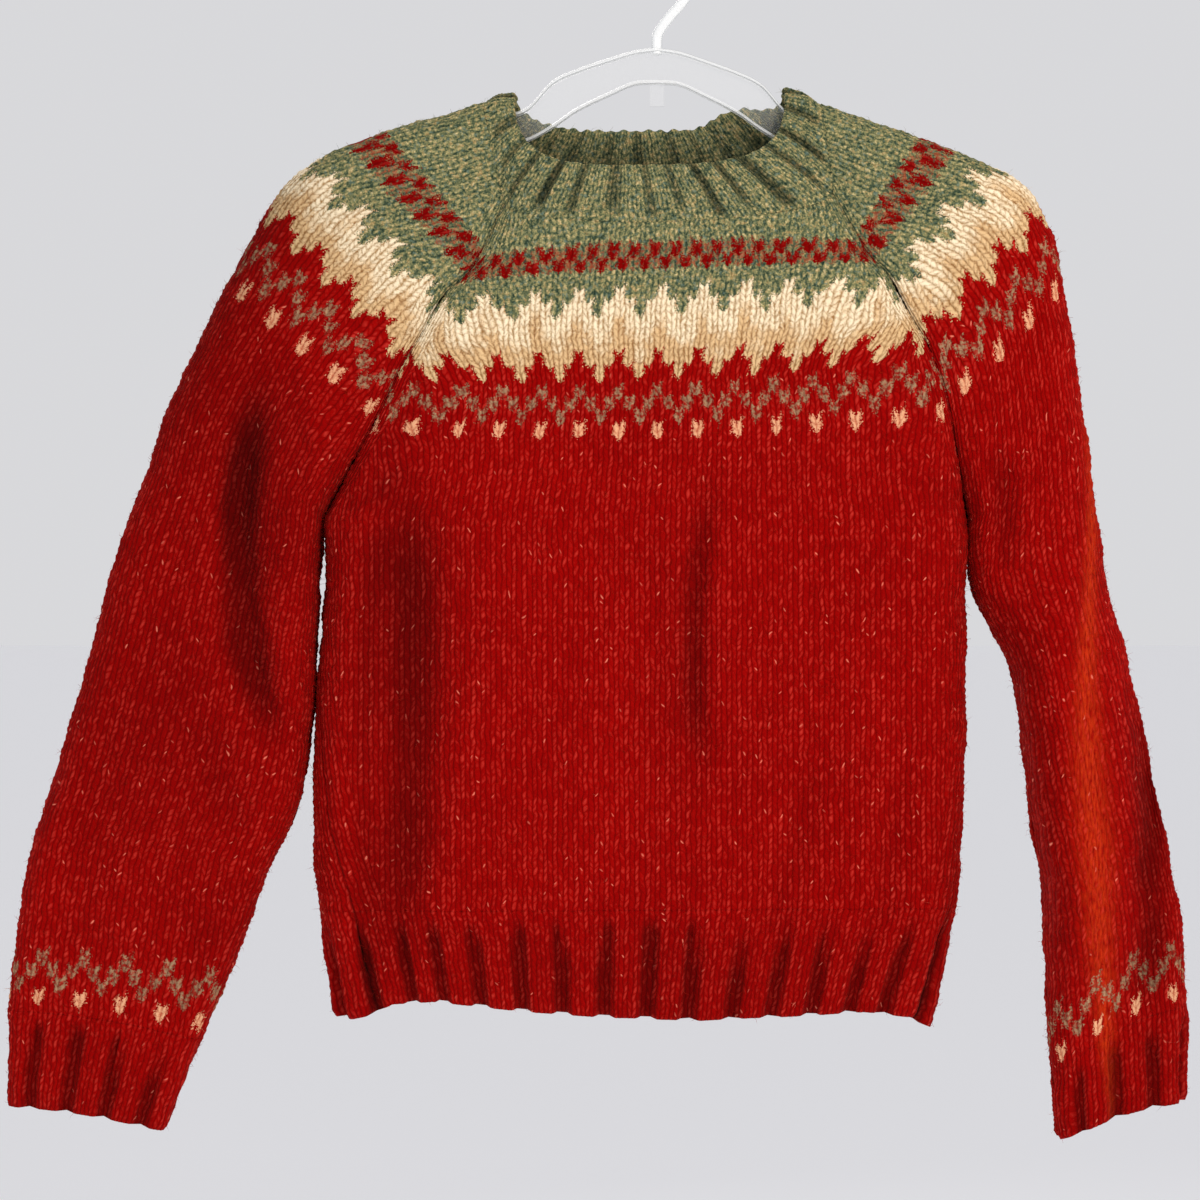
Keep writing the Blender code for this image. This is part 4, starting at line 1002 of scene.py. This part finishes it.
def even(loop, count):
    """The closed loop resampled to count points at even distances, the first one kept."""
    closed = np.vstack([loop, loop[:1]])
    travel = np.concatenate([[0], np.cumsum(np.linalg.norm(np.diff(closed, axis=0), axis=1))])
    stops = np.linspace(0, travel[-1], count, endpoint=False)
    return np.stack([np.interp(stops, travel, closed[:, k]) for k in range(3)], -1)


def neck_edge(start_share, count):
    """The neckband's upper edge, from the left peak along the front and back behind.

    X goes with the cosine, and the dip and the depth with the sine, each to a power that squares the loop off.
    """
    turn = np.linspace(0, 2 * np.pi, LOOP_POINTS, endpoint=False)
    cosine, sine = np.cos(turn), np.sin(turn)
    front = sine >= 0
    half = (PEAK_RIGHT[0] - PEAK_LEFT[0]) / 2
    x = (PEAK_LEFT[0] + PEAK_RIGHT[0]) / 2 - half * np.sign(cosine) * np.abs(cosine) ** NECK_SQUARE
    y = np.abs(sine) ** NECK_ROUND * np.where(front, -NECK_DEPTH_FRONT, NECK_DEPTH_BACK)
    line = PEAK_LEFT[1] + (PEAK_RIGHT[1] - PEAK_LEFT[1]) * (x - PEAK_LEFT[0]) / (2 * half)
    front_z = line - NECK_DIP_FRONT * np.abs(sine) ** NECK_STEEP_FRONT
    back_z = line - NECK_DIP_BACK * np.abs(sine) ** NECK_STEEP_BACK
    back_z = back_z + np.interp(x, NECK_WAVE["x"], NECK_WAVE["lift"])
    dense = even(np.stack([x, y, np.where(front, front_z, back_z)], -1), LOOP_POINTS)
    return even(np.roll(dense, -int(round(start_share * LOOP_POINTS)), 0), count)


shares = np.linspace(0, 1, LOOP_SHARES, endpoint=False)
loop = np.concatenate([
    face(0 * shares + level, shares)
    for face, level in (
        (front_face, NECK), (sleeve_face("right"), SLEEVE_NECK), (back_face, NECK), (sleeve_face("left"), SLEEVE_NECK)
    )
])
neck_count = NECK_RIBS * NECK_STEPS
base = even(loop, neck_count)
steps = np.linalg.norm(np.diff(np.vstack([loop, loop[:1]]), axis=0), axis=1)
fold_share = steps[: np.argmin(loop[:, 0])].sum() / steps.sum()
top = neck_edge(1 - fold_share, neck_count)
tall = np.linspace(0, 1, NECK_ROWS * POINTS_UP + 1)
tall = np.concatenate([tall[tall < 1 - LIP_SHARE], 1 - LIP_SHARE * (1 - np.sin(np.linspace(0, np.pi / 2, LIP_STEPS)))])
high = tall[:, None]
grid = base + (top - base) * high[..., None]
rib = np.arange(neck_count) / NECK_STEPS
swerve = sum(size * np.sin(rib * number * 2 * np.pi / NECK_RIBS + lag) for size, number, lag in NECK_SWERVE)
ridge = 1 - smooth((np.abs(2 * ((rib + swerve) % 1) - 1) - NECK_RIDGE_SHARE) / NECK_RIDGE_SIDE)
scallop = NECK_SCALLOP * (ridge - 0.5) + NECK_BUMP * np.cos(RIB_STITCHES * np.pi * rib)
grid[..., 2] += scallop * np.where(top[:, 1] < 0, FRONT_SCALLOP, 1.0) * high**NECK_SCALLOP_FADE
sideways = np.roll(grid, -1, 1) - np.roll(grid, 1, 1)
normal = unit(np.cross(sideways, np.gradient(grid, axis=0)))
grid = grid + NECK_BULGE * np.sin(np.pi * high[..., None]) ** 2 * normal
whole_rib = np.floor(rib + swerve + 0.5) % NECK_RIBS
strength = NECK_STRENGTH[0] + NECK_STRENGTH[1] * np.sin(whole_rib * 1.7) * np.sin(whole_rib**2 * 0.61 + 1)
started = smooth(high / (NECK_START[0] + NECK_START[1] * np.sin(whole_rib * 2.9)))
ribbed = (ridge * (NECK_RIDGE + NECK_FURROW) - NECK_FURROW) * strength * started
legs = leg_relief(RIB_STITCHES * rib + 0 * high + 0.5, NECK_ROWS * high + 0 * rib) * NECK_LEGS
lip = np.sqrt(np.clip(1 - ((high - 1 + LIP_SHARE) / LIP_SHARE).clip(0) ** 2, 0, 1))
half = NECK_CLOTH / 2
outer = grid + (lip * (half + ribbed + legs) - half)[..., None] * normal
inner_relief = half + ribbed * NECK_INSIDE[0] + legs * NECK_INSIDE[1] - NECK_INSIDE[2]
inner = grid + (-lip * inner_relief - half)[..., None] * normal
# Painted shade in the grooves, outside and inside, and down the inner side.
groove = (1 - ridge) * strength * started
outer_shade = NECK_SHADE * groove - LIP_LIGHT * (1 - lip)
inner_shade = INNER_SHADE + INNER_FOOT * (1 - high) ** INNER_FALL + INNER_GROOVE * groove
band_points = np.concatenate([outer, inner[-2::-1]])
band_points[..., 1] += lumpy(band_points) * NECK_LUMPS * np.sign(band_points[..., 1])
band_rows, band_columns = band_points.shape[:2]
band_layout = np.arange(band_rows * band_columns).reshape(band_rows, band_columns)
band_layout = np.pad(band_layout, (0, 1), "wrap")  # closed both ways
places = triangles_of(band_layout)
row_values = NECK_ROWS * np.concatenate([tall, 2 - tall[-2::-1]])
corner_row, corner_column = np.divmod(places, band_columns + 1)
stitches = np.stack([RIB_STITCHES * corner_column / NECK_STEPS + 0.5, row_values[corner_row % band_rows]], -1)
neckband = shell(
    "neckband_rib", band_points.reshape(-1, 3), band_layout.ravel()[places], 2 * band_columns,
    {"stitch": stitches, "pattern": stitches + (0, NECK_PATTERN)},
    np.concatenate([outer_shade, inner_shade[-2::-1]]).ravel(), 2 * band_columns * (len(outer) - 1),
)
hang(neckband, "neckband", "neckband_rib", NECK_FLAT, rests_on=["hanger"])

# ---------------------------------------------------------------- Fuzz
# Loose ends of the wool stand out of all the knitting as a thin soft halo. Each is a curved, tapering hair in the
# colour of the stitch that it grows from, with part of the painted shade at its root and, where red, a share of the
# warm red painted as light on the rubbed strip, and it lies over more than it stands up.
HAIR_AREA = 47.0  # square millimetres of knitting to a hair
HAIR_LENGTH, HAIR_RADIUS, HAIR_TAPER, HAIR_ROOT = (2.6, 7.0), 0.11, 0.7, 0.4
HAIR_UP, HAIR_ASIDE = (0.8, 0.25), (0.4, 1.4)  # how far its two halves stand up, and its lower one goes aside
HAIR_SCATTER, HAIR_DROOP, HAIR_TURN = 0.45, 0.15, 0.3
HAIR_SHADE, HAIR_LIT_SHARE = 0.5, 0.6  # a hair's share of the painted shade at its root, and of the painted lit red
HAIR_POINTS = 7
HAIR_FACES = np.array([
    (0, 2, 1), (0, 1, 4), (0, 4, 3), (1, 2, 5), (1, 5, 4), (2, 0, 3), (2, 3, 5), (3, 4, 6), (4, 5, 6), (5, 3, 6)
])


def hairs_on(points, faces, uvs, painted_shade):
    """Points, UV values at corners and painted shade of the hairs of one knitted face.

    Roots are spread evenly over its area. A hair leaves at a slant, halfway along it bends over, and it droops.
    """
    corner = points[faces]
    cross = np.cross(corner[:, 1] - corner[:, 0], corner[:, 2] - corner[:, 0])
    area = np.linalg.norm(cross, axis=1) / 2
    count = int(area.sum() / HAIR_AREA)
    pick = rng.choice(len(faces), count, p=area / area.sum())
    share = rng.dirichlet((1, 1, 1), count)
    normal = unit(cross[pick])
    sideways = unit(np.cross(normal, rng.normal(size=(count, 3))))
    length = rng.uniform(*HAIR_LENGTH, (count, 1))
    heading = unit(HAIR_UP[0] * normal + rng.uniform(*HAIR_ASIDE, (count, 1)) * sideways)
    later = unit(HAIR_UP[1] * normal + sideways + rng.normal(0, HAIR_SCATTER, (count, 3)) - (0, 0, HAIR_DROOP))
    root = (corner[pick] * share[..., None]).sum(1) - HAIR_ROOT * normal
    middle = root + heading * length / 2
    tip = middle + later * length / 2
    side = unit(np.cross(heading, normal + HAIR_TURN * rng.normal(size=(count, 3))))
    turn = np.array([0, 2, 4]) * np.pi / 3
    ring = np.cos(turn)[:, None] * side[:, None] + np.sin(turn)[:, None] * np.cross(heading, side)[:, None]
    hair = [root[:, None] + HAIR_RADIUS * ring, middle[:, None] + HAIR_TAPER * HAIR_RADIUS * ring, tip[:, None]]
    at_root = {key: (values[pick] * share[..., None]).sum(1) for key, values in uvs.items()}
    corners = {key: np.repeat(values, 3 * len(HAIR_FACES), 0) for key, values in at_root.items()}
    # the painted shade at each hair's root
    depth = (painted_shade[faces[pick]] * share).sum(1)
    return np.concatenate(hair, 1).reshape(-1, 3), corners, np.repeat(depth, HAIR_POINTS)


hair_points, hair_corners, hair_shades = zip(*(hairs_on(*woolly) for woolly in WOOLLY))
hair_points = np.concatenate(hair_points)
hair_starts = np.arange(0, len(hair_points), HAIR_POINTS)
fuzz = shell(
    "wool_fuzz", hair_points, (hair_starts[:, None, None] + HAIR_FACES).reshape(-1, 3), 0,
    {key: np.concatenate([each[key] for each in hair_corners]) for key in ("stitch", "pattern")},
    np.concatenate(hair_shades) * HAIR_SHADE, rubbed_and_lit=HAIR_LIT_SHARE,
)
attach(fuzz, "root")

# ---------------------------------------------------------------- Hanger
# The hanger is moulded in clear plastic: an arched I of two flanges and a thin web, with a plain tab under its
# middle and a round hook. Its faces all but vanish, and its edges gleam and, seen edge on, are painted grey in
# place of the light that the plastic bends there.
HANGER = table(
    "out top foot",
    (0, -58, -81), (14, -60, -82), (30, -65, -89), (50, -72, -99), (66, -80, -110), (84, -98, -119.5),
    (110, -101.5, -125.5), (140, -108.5, -134), (175, -121, -145), (200, -134, -152), (211, -142, -154),
)
HANGER_TILT = np.tan(np.radians(0.8))
HANGER_STEPS = 8
FLANGE_HALF, FLANGE_THICK, FLANGE_CROWN, FLANGE_SOLE = 4.0, 2.2, 1.0, 0.6
WEB_HALF, WEB_FILLET = 1.1, 0.6
HOOK_BORE, HOOK_WIRE, HOOK_SIDES = 17.0, 3.2, 24
HOOK_TIP = np.array([0.98, 0.9, 0.75, 0.45])  # how the wire narrows over its last rings
HOOK_START, HOOK_END, HOOK_STEPS = np.radians(-38), np.radians(205), 90
SHANK_FOOT, SHANK_TOP, SHANK_STEPS, SHANK_RISE, SHANK_LEAN = -62.0, -52.0, 20, 18.0, 18.0
TAB_HALF_WIDTH, TAB_HALF_THICK, TAB_TOP, TAB_FOOT = 4.5, 0.9, -82.0, -95.0
SHARP_ANGLE = np.radians(38)  # edges steeper than this stay crisp


def arm_rings():
    """Outlines of the arms from tip to tip: a crowned flange above and below a thin web."""
    levels = np.linspace(0, len(HANGER["out"]) - 1, (len(HANGER["out"]) - 1) * HANGER_STEPS + 1)
    out, top, foot = (along(HANGER[name], levels) for name in ("out", "top", "foot"))
    x = np.concatenate([-out[:0:-1], out])
    top = np.concatenate([top[:0:-1], top]) - x * HANGER_TILT
    foot = np.concatenate([foot[:0:-1], foot]) - x * HANGER_TILT
    turn = np.linspace(0, np.pi / 2, 5)
    crown = [(FLANGE_HALF * np.sin(t), 1, -FLANGE_CROWN * (1 - np.cos(t))) for t in turn[1:]]
    sole = [(FLANGE_HALF * np.cos(t), 0, FLANGE_CROWN * (1 - np.sin(t)) * FLANGE_SOLE) for t in turn[:-1]]
    web = [
        (FLANGE_HALF, 1, -FLANGE_THICK), (WEB_HALF, 1, -FLANGE_THICK - WEB_FILLET),
        (WEB_HALF, 0, FLANGE_THICK + WEB_FILLET), (FLANGE_HALF, 0, FLANGE_THICK),
    ]
    side = crown + web + sole
    outline = [(0, 1, 0)] + side + [(0, 0, 0)] + [(-y, share, lift) for y, share, lift in side[::-1]]
    return np.stack(
        [np.stack([x, 0 * x + y, foot + (top - foot) * share + lift], -1) for y, share, lift in outline], 1
    )


def hook_rings():
    """The hook's rod: up the shank, over to one side and round the rail, with a rounded tip."""
    radius = HOOK_BORE + HOOK_WIRE
    turn = np.linspace(HOOK_START, HOOK_END, HOOK_STEPS)
    bow = np.stack([radius * np.cos(turn), 0 * turn, -HOOK_BORE + radius * np.sin(turn)], -1)
    start = np.array([0, 0, SHANK_TOP])
    heading = np.array([-np.sin(HOOK_START), 0, np.cos(HOOK_START)])
    share = np.linspace(0, 1, SHANK_STEPS)[:, None]
    leave = SHANK_RISE * np.array([0, 0, 1]) * share * (1 - share) ** 2
    arrive = SHANK_LEAN * heading * share**2 * (share - 1)
    neck = start + (bow[0] - start) * smooth(share) + leave + arrive
    path = np.vstack([[0, 0, SHANK_FOOT], neck[:-1], bow])
    tangent = unit(np.gradient(path, axis=0))
    side = np.array([0.0, 1.0, 0.0])
    across = np.cross(tangent, side)
    around = np.linspace(0, 2 * np.pi, HOOK_SIDES, endpoint=False)[None, :, None]
    wire = np.full(len(path), HOOK_WIRE)
    wire[-len(HOOK_TIP) :] = HOOK_WIRE * HOOK_TIP
    offset = np.cos(around) * across[:, None, :] + np.sin(around) * side
    return path[:, None, :] + offset * wire[:, None, None]


def tab_rings():
    """The plain tab: two rectangles one above the other."""
    w, t = TAB_HALF_WIDTH, TAB_HALF_THICK
    corners = ((w, -t), (w, t), (-w, t), (-w, -t))
    return np.array([[(x, y, z) for x, y in corners] for z in (TAB_FOOT, TAB_TOP + FLANGE_THICK)])


def capped_tube(name, rings, material):
    """A closed solid through rings of points, with a flat cap at each end."""
    count, sides = rings.shape[:2]
    index = np.arange(count * sides).reshape(count, sides)
    a, b = index[:-1], np.roll(index[:-1], -1, 1)
    d, c = index[1:], np.roll(index[1:], -1, 1)
    faces = np.stack([a, b, c, d], -1).reshape(-1, 4).tolist() + [index[0][::-1].tolist(), index[-1].tolist()]
    mesh = bpy.data.meshes.new(name)
    mesh.from_pydata((rings.reshape(-1, 3) * MM).tolist(), [], faces)
    mesh.materials.append(material)
    return placed(name, mesh)


def clear_plastic():
    """Clear plastic: nearly unseen face on, and more opaque where thick and towards its edges.

    Seen edge on, its colour is painted grey, in place of the light that clear plastic bends there.
    """
    material, make = bare_material("clear_plastic")
    # Painted by the viewing angle: grey towards the edges, in place of the light that the plastic bends there.
    rim = make.node("LayerWeight", {"Blend": 0.35}).out(1)
    thick = make.node("TexCoord").out(3).split().out(1).size().stretched(0.0013, 0.0024)
    shader = make.node("BsdfPrincipled", {
        "Base Color": rim.stretched(0.3, 0.75).mixed(srgb(248, 251, 251), srgb(104, 112, 114)),
        "Alpha": 0.06 + 0.42 * thick + 0.5 * rim**1.5, "Roughness": 0.16, "Specular IOR Level": 0.5,
    })
    make.node("OutputMaterial", {0: shader})
    return material


plastic = clear_plastic()
arms = capped_tube("hanger_clear", arm_rings(), plastic)
helpers = [capped_tube("hook_rod", hook_rings(), plastic), capped_tube("tab_block", tab_rings(), plastic)]
for helper in helpers:
    union = arms.modifiers.new(helper.name, "BOOLEAN")
    union.operation, union.solver, union.object = "UNION", "EXACT", helper
graph = bpy.context.evaluated_depsgraph_get()
joined = bpy.data.meshes.new_from_object(arms.evaluated_get(graph))
arms.modifiers.clear()
arms.data = joined
for helper in helpers:
    bpy.data.objects.remove(helper)
joined.shade_smooth()
joined.set_sharp_from_angle(angle=SHARP_ANGLE)
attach(arms, "root")
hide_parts("hanger")

# ---------------------------------------------------------------- Floor and light
# A wide pale studio floor lies below the cuffs, and soft light comes from large screens above and at both sides.
FLOOR_LEVEL, FLOOR_HALF, FLOOR_ROUGH = -1.65, 80.0, 0.9
FLOOR_COLOUR, SKY_COLOUR, SKY_STRENGTH = srgb(253, 253, 255), srgb(250, 250, 253), 0.72
LIGHTS = (
    ("key", (1.3, -2.25, 0.6), 0.8, 42.5, srgb(255, 244, 234)),
    ("fill", (-2.0, -2.0, 0.2), 1.8, 7.0, srgb(240, 246, 255)),
    ("rim", (-0.8, 2.3, 1.2), 1.6, 44.0, srgb(255, 250, 244)),
)
LIGHT_AIM = np.array([-0.03, 0, -0.4])

floor_mesh = bpy.data.meshes.new("floor")
floor_corners = [(x * FLOOR_HALF, y * FLOOR_HALF, FLOOR_LEVEL) for x, y in ((-1, -1), (1, -1), (1, 1), (-1, 1))]
floor_mesh.from_pydata(floor_corners, [], [(0, 1, 2, 3)])
paper = bpy.data.materials.new("studio_paper")
paper.use_nodes = True
paper_shader = paper.node_tree.nodes["Principled BSDF"]
paper_shader.inputs["Base Color"].default_value = FLOOR_COLOUR
paper_shader.inputs["Roughness"].default_value = FLOOR_ROUGH
floor_mesh.materials.append(paper)
placed("floor", floor_mesh)

world = bpy.data.worlds.new("studio")
world.use_nodes = True
sky = world.node_tree.nodes["Background"]
sky.inputs["Color"].default_value = SKY_COLOUR
sky.inputs["Strength"].default_value = SKY_STRENGTH
bpy.context.scene.world = world
bpy.context.scene.view_settings.view_transform = "Standard"

for name, place, size, power, tint in LIGHTS:
    lamp = bpy.data.lights.new(name, "AREA")
    lamp.size, lamp.energy, lamp.color = size, power, tint[:3]
    holder = placed(name, lamp)
    holder.location = place
    away = np.array(place) - LIGHT_AIM
    flat = np.hypot(away[0], away[1])
    holder.rotation_euler = (np.arctan2(flat, away[2]), 0, np.arctan2(away[0], -away[1]))
